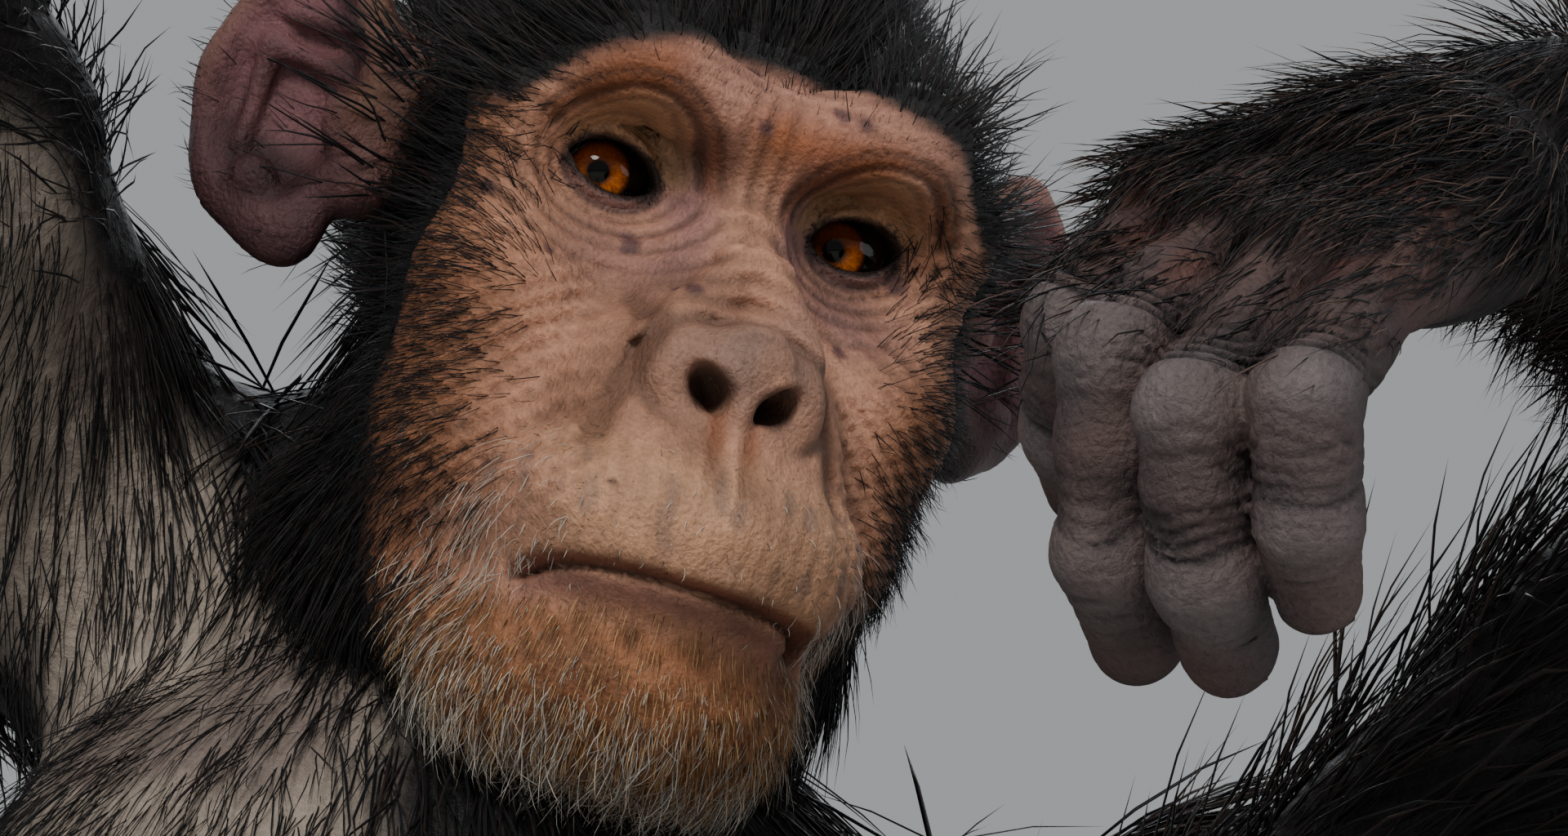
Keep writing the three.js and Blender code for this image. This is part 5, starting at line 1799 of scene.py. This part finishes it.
@dataclass
class Bristles:
    """Short stiff hairs that a node tree sets on their roots: lashes, brow hairs and stubble."""

    name: str
    roots: Roots
    seed: int
    bend: float = 0.22
    sunk: float = 0.4
    sides: int = 3
    steps: int = 2

    def _tree(self, material: bpy.types.Material) -> tuple[bpy.types.NodeTree, dict]:
        """The node tree that turns each root into a bent cone.

        Args:
            material: The finish that the tree puts on its hairs.

        Returns:
            The tree and its inputs' identifiers by name.
        """
        tree = bpy.data.node_groups.new(self.name, "GeometryNodeTree")
        sockets = {}
        for name, kind in (("Geometry", "Geometry"), ("Bend", "Float"), ("Sides", "Int"), ("Steps", "Int"),
                           ("Seed", "Int")):
            socket = tree.interface.new_socket(name, in_out="INPUT", socket_type=f"NodeSocket{kind}")
            sockets[name] = socket.identifier
        tree.interface.new_socket("Geometry", in_out="OUTPUT", socket_type="NodeSocketGeometry")
        node = partial(add_node, tree)
        given = node("NodeGroupInput").outputs
        carried = {}
        for name, kind in (("Lie", "FLOAT_VECTOR"), ("Wide", "FLOAT"), ("Long", "FLOAT")):
            reader = node("GeometryNodeInputNamedAttribute", {"Name": name}, data_type=kind)
            carried[name] = reader.outputs["Attribute"]
        cone = node("GeometryNodeMeshCone", {"Radius Top": 0.0, "Radius Bottom": 0.5, "Depth": 1.0,
                                             "Vertices": given["Sides"], "Side Segments": given["Steps"]})
        spot = node("ShaderNodeSeparateXYZ", {0: node("GeometryNodeInputPosition").outputs[0]})
        height = spot.outputs["Z"]
        square = node("ShaderNodeMath", {0: height, 1: height}, operation="MULTIPLY")
        push = node("ShaderNodeMath", {0: square.outputs[0], 1: given["Bend"]}, operation="MULTIPLY")
        aside = node("ShaderNodeCombineXYZ", {"X": push.outputs[0]})
        bent = node("GeometryNodeSetPosition", {"Geometry": cone.outputs["Mesh"], "Offset": aside.outputs[0]})
        lie = node("FunctionNodeAlignRotationToVector", {"Vector": carried["Lie"]}, axis="Z")
        angle = node("FunctionNodeRandomValue", {2: 0.0, 3: 2 * math.pi, "Seed": given["Seed"]},
                     data_type="FLOAT")
        spin = node("FunctionNodeAxisAngleToRotation", {"Angle": angle.outputs[1]})
        turned = node("FunctionNodeRotateRotation", {0: lie.outputs[0], 1: spin.outputs[0]},
                      rotation_space="LOCAL")
        wide = carried["Wide"]
        size = node("ShaderNodeCombineXYZ", {"X": wide, "Y": wide, "Z": carried["Long"]})
        grown = node("GeometryNodeInstanceOnPoints", {
            "Points": given["Geometry"], "Rotation": turned.outputs[0],
            "Instance": bent.outputs["Geometry"], "Scale": size.outputs[0]})
        real = node("GeometryNodeRealizeInstances", {"Geometry": grown.outputs["Instances"]})
        finish = node("GeometryNodeSetMaterial", {"Geometry": real.outputs["Geometry"], "Material": material})
        node("NodeGroupOutput", {"Geometry": finish.outputs["Geometry"]})
        return tree, sockets

    def build(self) -> Piece:
        """Grows the hairs, makes them a plain mesh and dresses it.

        Returns:
            The dressed piece.
        """
        roots = self.roots
        count = len(roots.points)
        lie = unit(roots.flow * np.cos(roots.lift)[:, None] + roots.normals * np.sin(roots.lift)[:, None])
        mesh = bpy.data.meshes.new(f"{self.name}_roots")
        mesh.vertices.add(count)
        sunk = FRAMES.metres(roots.points - roots.normals * self.sunk)
        mesh.vertices.foreach_set("co", sunk.astype(np.float32).ravel())
        rgba = np.concatenate([roots.tones, np.ones((count, 1))], 1)
        carried = (("Lie", "FLOAT_VECTOR", "vector", lie), ("Wide", "FLOAT", "value", roots.width * MM),
                   ("Long", "FLOAT", "value", roots.length * MM), ("Tone", "FLOAT_COLOR", "color", rgba))
        for name, kind, key, values in carried:
            layer = mesh.attributes.new(name, kind, "POINT")
            layer.data.foreach_set(key, values.astype(np.float32).ravel())
        made = bpy.data.objects.new(self.name, mesh)
        bpy.context.scene.collection.objects.link(made)
        material = COAT_FINISHES[Slot.FACE].material()
        tree, sockets = self._tree(material)
        modifier = made.modifiers.new("bristles", "NODES")
        modifier.node_group = tree
        for name in ("Bend", "Sides", "Steps", "Seed"):
            modifier[sockets[name]] = getattr(self, name.lower())
        grown = bpy.data.meshes.new_from_object(made.evaluated_get(bpy.context.evaluated_depsgraph_get()))
        made.modifiers.clear()
        made.data = grown
        grown.name = self.name
        per = len(grown.vertices) // count
        corners = np.zeros(len(grown.loops), np.int32)
        grown.loops.foreach_get("vertex_index", corners)
        where = unwrap(roots.points)[corners // per]
        patch = np.stack([np.cos(corners * 2.1), np.sin(corners * 2.1)], -1) * 0.0012
        for layer in list(grown.uv_layers):
            grown.uv_layers.remove(layer)
        grown.uv_layers.new(name="OFBake").data.foreach_set("uv", (where + patch).astype(np.float32).ravel())
        dress(made, material, Slot.FACE)
        LOG.info("%s: %d hairs, %d corners each", self.name, count, per)
        return made


@dataclass
class HeadCoat:
    """The black ring of hair round the face, the sparse hair on it, beard and whiskers."""

    skin: Skin
    ring_count: int = 20500
    face_count: int = 5200
    beard_count: int = 3000
    ear_count: int = 700
    stubble_count: int = 6000

    def _flow(self, p: Array) -> Array:
        """Which way hair lies at points of the head's frame.

        Args:
            p: The points.

        Returns:
            A direction for each point.
        """
        outward = unit(np.stack([p[:, 0] * 0.9, np.zeros(len(p)), p[:, 2] + 28], -1))
        back = np.array((0.0, 1.0, -0.1))
        low = ramp(-50, -100, p[:, 2])[:, None]
        return unit(outward * 0.75 + back * 0.85 + low * np.array((0, -0.6, -0.8)))

    def build(self) -> list:
        """Makes every piece of hair on the head.

        Returns:
            The dressed pieces.
        """
        head = FRAMES.to_head(self.skin.points)
        coated = TONES.coated(head)
        ear = TONES.ear_share(head)
        made = []
        seen = 1.35 - ramp(30, 80, head[:, 1])
        made += self._ring(np.sqrt(coated) * seen * (1 - ear) ** 2 * ramp(-126, -118, head[:, 2]))
        cheek = (1 - coated) * ramp(26, 46, np.abs(head[:, 0]) + 0.2 * head[:, 1]) * ramp(30, 10, head[:, 2])
        cheek += 0.12 * (1 - coated) * ramp(14, 26, head[:, 2])
        made.append(self._sparse("coat_cheeks", cheek * (1 - ear), self.face_count, 211, 9.0, 0.2))
        behind = ear * (0.15 + (head[:, 1] > 62))
        made.append(self._sparse("coat_ears", behind, self.ear_count, 212, 7.0, 0.22))
        made += self._beard(head)
        return made

    def _roots(self, density: Array, count: int, seed: int) -> tuple:
        """Places on the head, their outward directions, the places in the head's frame and a draw."""
        points, normals = scatter(self.skin, density, count, seed)
        return points, normals, FRAMES.to_head(points), np.random.default_rng(seed + 1)

    def _ring(self, density: Array) -> list:
        """The dense black hair, in pieces side by side.

        Args:
            density: How densely hair grows at each point.

        Returns:
            The dressed pieces.
        """
        points, normals, head, rng = self._roots(density, self.ring_count, 201)
        edge = TONES.coated(head)
        low = ramp(-60, -100, head[:, 2])
        length = (11 + 14 * edge + 8 * low) * rng.uniform(0.6, 1.3, len(points))
        hidden = ramp(20, 70, head[:, 1])
        width = rng.uniform(0.24, 0.5, len(points)) * (0.8 + 0.3 * edge) * (1 + hidden)
        lift = 0.2 + 0.2 * low + 0.24 * rng.random(len(points))
        tone = mix(TONES.BLACK, TONES.BROWN, rng.random(len(points)) ** 3)
        roots = Roots(points, normals, FRAMES.turned(self._flow(head)), length, width, lift, tone, 4.0, 0.2)
        turn = np.arctan2(head[:, 2] + 20, head[:, 0])
        edges = np.quantile(turn, np.linspace(0, 1, 5))
        made = []
        for k in range(4):
            keep = (turn >= edges[k]) & ((turn < edges[k + 1]) | (k == 3))
            made.append(Coat(f"coat_head_{k + 1}", roots.part(keep), 4, 220 + k).build())
        return made

    def _sparse(self, name: str, density: Array, count: int, seed: int, length: float,
                width: float) -> Piece:
        """Single hairs over bare skin.

        Args:
            name: The piece's name.
            density: How densely hair grows at each point.
            count: How many hairs.
            seed: Fixes the draw.
            length: A hair's length.
            width: A hair's width.

        Returns:
            The dressed piece.
        """
        points, normals, head, rng = self._roots(density, count, seed)
        size = length * rng.uniform(0.6, 1.5, count)
        wide = width * rng.uniform(0.7, 1.2, count)
        lift = 0.25 + 0.35 * rng.random(count)
        roots = Roots(points, normals, FRAMES.turned(self._flow(head)), size, wide, lift,
                      np.tile(TONES.BLACK, (count, 1)), 3.0, 0.25)
        return Coat(name, roots, 3, seed + 5, Slot.COAT, 0.1).build()

    def _beard(self, head: Array) -> list:
        """Pale beard on the chin and jaw, and whiskers by the mouth.

        Args:
            head: The skin's points in the head's frame.

        Returns:
            The dressed pieces.
        """
        x, y, z = head.T
        chin = ramp(-90, -104, z) * ramp(26, 4, y) * ramp(44, 30, np.abs(x))
        corner = bell(np.abs(x) - 34, 9) * bell(z + 84, 14) * ramp(14, -2, y)
        density = 1.2 * chin + 0.7 * corner + 0.08 * ramp(-50, -60, z) * ramp(4, -10, y)
        points, normals, spots, rng = self._roots(density, self.beard_count, 231)
        low = ramp(-96, -116, spots[:, 2])
        length = (3.0 + 8 * low + 6 * bell(np.abs(spots[:, 0]) - 38, 8)) * rng.uniform(0.6, 1.5, len(points))
        flow = self._flow(spots) * (0.6, 0.5, 0.6) + np.array((0, 0.1, -0.9))
        tone = mix(TONES.WHITE, TONES.BROWN, rng.random(len(points)) ** 2 * 0.8)
        width = rng.uniform(0.15, 0.26, len(points))
        lift = 0.3 + 0.5 * rng.random(len(points))
        roots = Roots(points, normals, FRAMES.turned(flow), length, width, lift, tone, 4.0, 0.35)
        return [Coat("coat_beard", roots, 4, 232, Slot.FACE, stray=0.3).build(), self._stubble(head)]

    def _stubble(self, head: Array) -> Piece:
        """Short bristles on the chin, the brow and the rims of the lids.

        Args:
            head: The skin's points in the head's frame.

        Returns:
            The dressed piece.
        """
        x, y, z = head.T
        chin = ramp(-84, -90, z) * ramp(20, 4, y) * ramp(46, 36, np.abs(x))
        brow = 0.16 * ramp(10, 16, z) * ramp(30, 24, z) * ramp(10, 0, y)
        muzzle = 0.05 * ramp(-52, -58, z) * ramp(2, -8, y)
        lashes = np.zeros(len(head))
        for side in Side:
            across, up, deep = HEAD.eye(head, side)
            ring = np.hypot(across / HEAD.fissure_half, up / HEAD.fissure_height)
            lashes = np.maximum(lashes, 3.0 * bell(ring - 1.12, 0.12) * ramp(2, -4, deep))
        points, normals, spots, rng = self._roots(chin + brow + muzzle + lashes, self.stubble_count, 241)
        low = ramp(-80, -88, spots[:, 2])
        flow = self._flow(spots) * (0.5, 0.3, 0.5) + low[:, None] * np.array((0, -0.1, -0.9))
        ochre = mix(colour("c8a070"), colour("4a2a16"), rng.random(len(points)))
        tone = mix(TONES.BLACK, ochre, low)
        length = (2.2 + 1.8 * low) * rng.uniform(0.6, 1.5, len(points))
        width = rng.uniform(0.13, 0.22, len(points)) * (1 + 0.3 * low)
        lift = 0.25 + 0.5 * rng.random(len(points))
        roots = Roots(points, normals, FRAMES.turned(flow), length, width, lift, tone)
        return Bristles("bristles_face", roots, 242).build()


@dataclass
class BodyCoat:
    """The long coat of trunk, arms and legs, thin over chest and flank."""

    skin: Skin
    shape: BodyShape
    counts: dict = field(default_factory=lambda: {
        "trunk": 10500, "upper_arm_left": 2500, "upper_arm_right": 3000, "forearm_left": 4200,
        "forearm_right": 1900, "thigh_left": 3900, "thigh_right": 2700, "shin_left": 3900,
        "shin_right": 2000})
    fineness: dict = field(default_factory=lambda: {
        "forearm_left": 0.5, "thigh_left": 0.7, "shin_left": 0.7, "upper_arm_right": 0.8})
    chest_count: int = 4500
    length: float = 40.0

    def build(self) -> list:
        """Makes the coat limb by limb.

        Returns:
            The dressed pieces.
        """
        p = self.skin.points
        names = ["trunk"] + list(self.shape.limbs)
        reach = [self.shape.forms.distance(p)] + [limb.distance(p) for limb in self.shape.limbs.values()]
        nearest = np.argmin(np.stack(reach, -1), 1)
        made = []
        bare = TONES.bare_chest(p)
        for k, name in enumerate(names):
            density = (nearest == k) * (1 - 0.93 * bare) * ramp(1.0, 8, p[:, 2]) * (1 + 1.8 * self._near(p))
            made += self._limb(name, density, self.counts[name], 300 + 7 * k)
        made.append(self._chest(bare))
        return made

    def _near(self, p: Array) -> Array:
        """How near points of the trunk and shoulders lie to the head, from 0 to 1."""
        return ramp(110, 80, p[:, 1]) * ramp(270, 310, p[:, 2]) * ramp(60, 0, p[:, 0])

    def _flow(self, name: str, p: Array) -> Array:
        """Which way hair lies on a length of limb or the trunk.

        Args:
            name: The limb's name.
            p: The points.

        Returns:
            A direction for each point.
        """
        down = np.array((0, 0.25, -1.0))
        if name == "trunk":
            return np.tile(down, (len(p), 1))
        part, word = name.rsplit("_", 1)
        ends = {"upper_arm": ("shoulder", "elbow"), "forearm": ("elbow", "wrist"), "thigh": ("hip", "knee"),
                "shin": ("knee", "ankle")}[part]
        along = unit(place(f"{ends[1]}_{word}") - place(f"{ends[0]}_{word}"))
        return np.tile(along + 0.55 * down, (len(p), 1))

    def _limb(self, name: str, density: Array, count: int, seed: int) -> list:
        """One length of coat, in pieces that stay small enough.

        Args:
            name: The limb's name.
            density: How densely hair grows at each point.
            count: How many hairs.
            seed: Fixes the draw.

        Returns:
            The dressed pieces.
        """
        points, normals = scatter(self.skin, density, count, seed)
        rng = np.random.default_rng(seed + 1)
        fine = self.fineness.get(name, 1.0)
        short = 0.85 if "forearm" in name or "shin" in name else 1
        length = self.length * rng.uniform(0.65, 1.2, count) * short
        width = rng.uniform(0.8, 1.7, count) * fine * (1 - 0.5 * self._near(points))
        knee = 1.0 if name in ("thigh_left", "shin_left") else 0.0
        length *= 1 + 0.3 * knee
        lift = 0.1 + 0.14 * rng.random(count) + 0.14 * knee
        tone = mix(TONES.BLACK, TONES.BROWN, rng.random(count) ** 2.5)
        roots = Roots(points, normals, self._flow(name, points), length, width, lift, tone, 13.0, 0.18)
        pieces = max(1, math.ceil(count / LOCKS_PER_PIECE))
        order = np.argsort(points[:, 1])
        made = []
        for k, rows in enumerate(np.array_split(order, pieces)):
            label = f"coat_{name}" if pieces == 1 else f"coat_{name}_{k + 1}"
            made.append(Coat(label, roots.part(rows), 3, seed + 2 + k).build())
        return made

    def _chest(self, bare: Array) -> Piece:
        """Fine single hairs over the pale skin of chest and flank.

        Args:
            bare: How bare each point of the skin is.

        Returns:
            The dressed piece.
        """
        points, normals = scatter(self.skin, bare, self.chest_count, 391)
        rng = np.random.default_rng(392)
        count = len(points)
        roots = Roots(points, normals, self._flow("trunk", points), 26 * rng.uniform(0.5, 1.3, count),
                      rng.uniform(0.22, 0.4, count), 0.12 + 0.2 * rng.random(count),
                      np.tile(TONES.BLACK, (count, 1)), 7.0, 0.3)
        return Coat("coat_chest", roots, 4, 393).build()


@dataclass
class HandCoat:
    """The coarse hair that falls over the back of one hand."""

    skin: Skin
    side: Side
    count: int

    def build(self) -> Piece:
        """Makes the hand's hair, thinning out towards the knuckles.

        Returns:
            The dressed piece.
        """
        word = self.side.word
        wrist = place(f"wrist_{word}")
        digits = {name: np.array(joints, float) for name, joints in FINGERS[word].items()}
        knuckles = (digits["index"][0] + digits["middle"][0] + digits["ring"][0] + digits["little"][0]) / 4
        along = knuckles - wrist
        palm_side = unit(digits["middle"][3] - digits["middle"][0])
        p = self.skin.points
        share = (p - wrist) @ along / (along @ along)
        normals = self.skin.normals()
        back = ramp(0.35, -0.25, normals @ palm_side - 0.35 * (share < 0.2))
        density = (0.4 + 0.6 * ramp(1.3, 0.9, share)) * ramp(1.6, 1.35, share)
        density = density * np.where(share < 0.1, 1, back)
        density = density * ramp(-0.95, -0.8, share) * (1 + 1.6 * bell(share - 0.6, 0.45))
        density = density * ramp(34, 14, (p - knuckles) @ palm_side)
        points, out = scatter(self.skin, density, self.count, 401 + self.side.value)
        rng = np.random.default_rng(411)
        t = (points - wrist) @ along / (along @ along)
        n = len(points)
        length = (30 - 12 * ramp(0.2, 1, t)) * rng.uniform(0.6, 1.25, n)
        flow = unit(along) + np.array((0, 0, -0.5)) * ramp(0.8, -0.2, t)[:, None]
        tone = mix(TONES.BLACK, colour("5a463c"), rng.random(n) ** 6)
        width = rng.uniform(0.24, 0.48, n)
        lift = 0.1 + 0.16 * rng.random(n)
        roots = Roots(points, out, flow, length, width, lift, tone, 6.0, 0.2)
        return Coat(f"coat_hand_{word}", roots, 3, 421).build()


@dataclass
class Studio:
    """The pale floor, soft lights and a camera with the photo's framing."""

    azimuth: float = -18.0
    elevation: float = -12.0
    distance: float = 1.8
    pixels_per_mm: float = 6.26
    eyes_at: tuple = (884, 260)
    image: tuple = (1920, 1024)
    sensor: float = 36.0
    floor_half: float = 6.0

    def axes(self) -> tuple[Array, Array, Array]:
        """The camera's directions to the right, up and back.

        Returns:
            Right, up and back.
        """
        a, e = math.radians(self.azimuth), math.radians(self.elevation)
        right = np.array((math.cos(a), math.sin(a), 0))
        back = np.array((math.sin(a) * math.cos(e), -math.cos(a) * math.cos(e), math.sin(e)))
        return right, np.cross(back, right), back

    def eye(self) -> Array:
        """Where the camera stands, in metres.

        Returns:
            The point.
        """
        right, up, back = self.axes()
        aside = (self.image[0] / 2 - self.eyes_at[0]) / self.pixels_per_mm * MM
        below = (self.eyes_at[1] - self.image[1] / 2) / self.pixels_per_mm * MM
        return FRAMES.origin + right * aside + up * below + back * self.distance

    def build(self) -> None:
        """Sets out floor, lights, world and camera."""
        right, up, back = self.axes()
        data = bpy.data.cameras.new("camera")
        data.sensor_width = self.sensor
        data.lens = self.pixels_per_mm * self.distance / MM / self.image[0] * self.sensor
        data.clip_end = 50
        camera = bpy.data.objects.new("camera", data)
        turn = Matrix([list(row) for row in np.stack([right, up, back], -1)]).to_4x4()
        camera.matrix_world = Matrix.Translation(self.eye()) @ turn
        bpy.context.scene.collection.objects.link(camera)
        bpy.context.scene.camera = camera
        self._floor()
        self._light("key", (-0.95, -1.65, 1.8), 0.9, 44, (1.0, 0.97, 0.92))
        self._light("fill", (1.9, -1.2, 0.7), 1.4, 9, (0.92, 0.96, 1.0))
        self._light("rim", (0.6, 1.8, 1.6), 1.2, 16, (0.9, 0.95, 1.0))
        world = bpy.data.worlds.new("studio")
        world.use_nodes = True
        world.node_tree.nodes["Background"].inputs["Color"].default_value = (0.80, 0.82, 0.84, 1)
        world.node_tree.nodes["Background"].inputs["Strength"].default_value = 0.45
        bpy.context.scene.world = world

    def _floor(self) -> None:
        """A wide floor under the animal."""
        half, low = self.floor_half, float(CAD_BOX[0][2])
        points = np.array([(x * half, y * half, low) for x, y in ((-1, -1), (1, -1), (1, 1), (-1, 1))])
        floor = new_object("floor", points, np.array([(0, 1, 2, 3)]))
        floor.data.materials.append(FloorFinish().material())
        floor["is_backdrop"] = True

    def _light(self, name: str, at: tuple, size: float, power: float, tint: tuple) -> None:
        """One soft light that faces the head.

        Args:
            name: The light's name.
            at: Where it stands.
            size: Its width.
            power: Its watts.
            tint: Its colour.
        """
        data = bpy.data.lights.new(name, "AREA")
        data.shape = "DISK"
        data.size, data.energy, data.color = size, power, tint
        lamp = bpy.data.objects.new(name, data)
        lamp.matrix_world = Matrix.Translation(at) @ facing(FRAMES.origin - np.array(at))
        bpy.context.scene.collection.objects.link(lamp)


def facing(direction: Array) -> Matrix:
    """A turn that points an object's -Z along a direction."""
    return Vector(direction).to_track_quat("-Z", "Y").to_matrix().to_4x4()


def finger_tips(shape: HandShape) -> list:
    """Each digit's last joint as place, direction, outward side and radius.

    Args:
        shape: The hand.

    Returns:
        One row for each digit.
    """
    tips = []
    for joints, r in shape.bends:
        before, last = unit(joints[2] - joints[1]), unit(joints[3] - joints[2])
        bent = abs(before @ last) < 0.98
        outward = unit(before - last * (before @ last)) if bent else unit(np.cross(last, (1, 0, 0)))
        tips.append((lerp(joints[2], joints[3], 0.66), last, outward, r * 0.84))
    return tips


def toe_tips(shape: FootShape) -> list:
    """Each toe's end as place, direction, outward side and radius.

    Args:
        shape: The foot.

    Returns:
        One row for each toe.
    """
    tips = []
    for toe in shape.toes:
        rod = toe.forms[-1][0]
        along = unit(np.array(rod.end) - np.array(rod.start))
        outward = unit(np.array((0, 0, 1)) - along * along[2])
        tips.append((np.array(rod.end, float), along, outward, rod.end_radius))
    return tips


def main() -> None:
    """Builds the animal and the studio."""
    logging.basicConfig(level=logging.INFO, format="%(message)s")
    studio = Studio()
    studio.build()
    head = HeadSkin(HEAD).build()
    head.build()
    gaze = unit(studio.eye() - FRAMES.origin)
    for side in Side:
        Eye(side, gaze + np.array((-0.1, 0, 0.02) if side is Side.LEFT else (0, 0, 0.03))).build()
    HeadCoat(head).build()
    body_shape = BodyShape()
    body = BodySkin(body_shape).build()
    body.build()
    BodyCoat(body, body_shape).build()
    for side in Side:
        hand_shape = HandShape(side)
        hand = HandSkin(hand_shape, 1.12 if side is Side.LEFT else 2.0).build()
        hand.build()
        HandCoat(hand, side, 9200 if side is Side.LEFT else 1500).build()
        Nails(side, "hand", finger_tips(hand_shape)).build()
        foot_shape = FootShape(side)
        FootSkin(foot_shape).build().build()
        Nails(side, "foot", toe_tips(foot_shape)).build()
    boxes = {"cad": CAD_BOX, "visual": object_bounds()}
    sizes = {name: [[float(v) for v in corner] for corner in box] for name, box in boxes.items()}


if __name__ == "__main__":
    main()
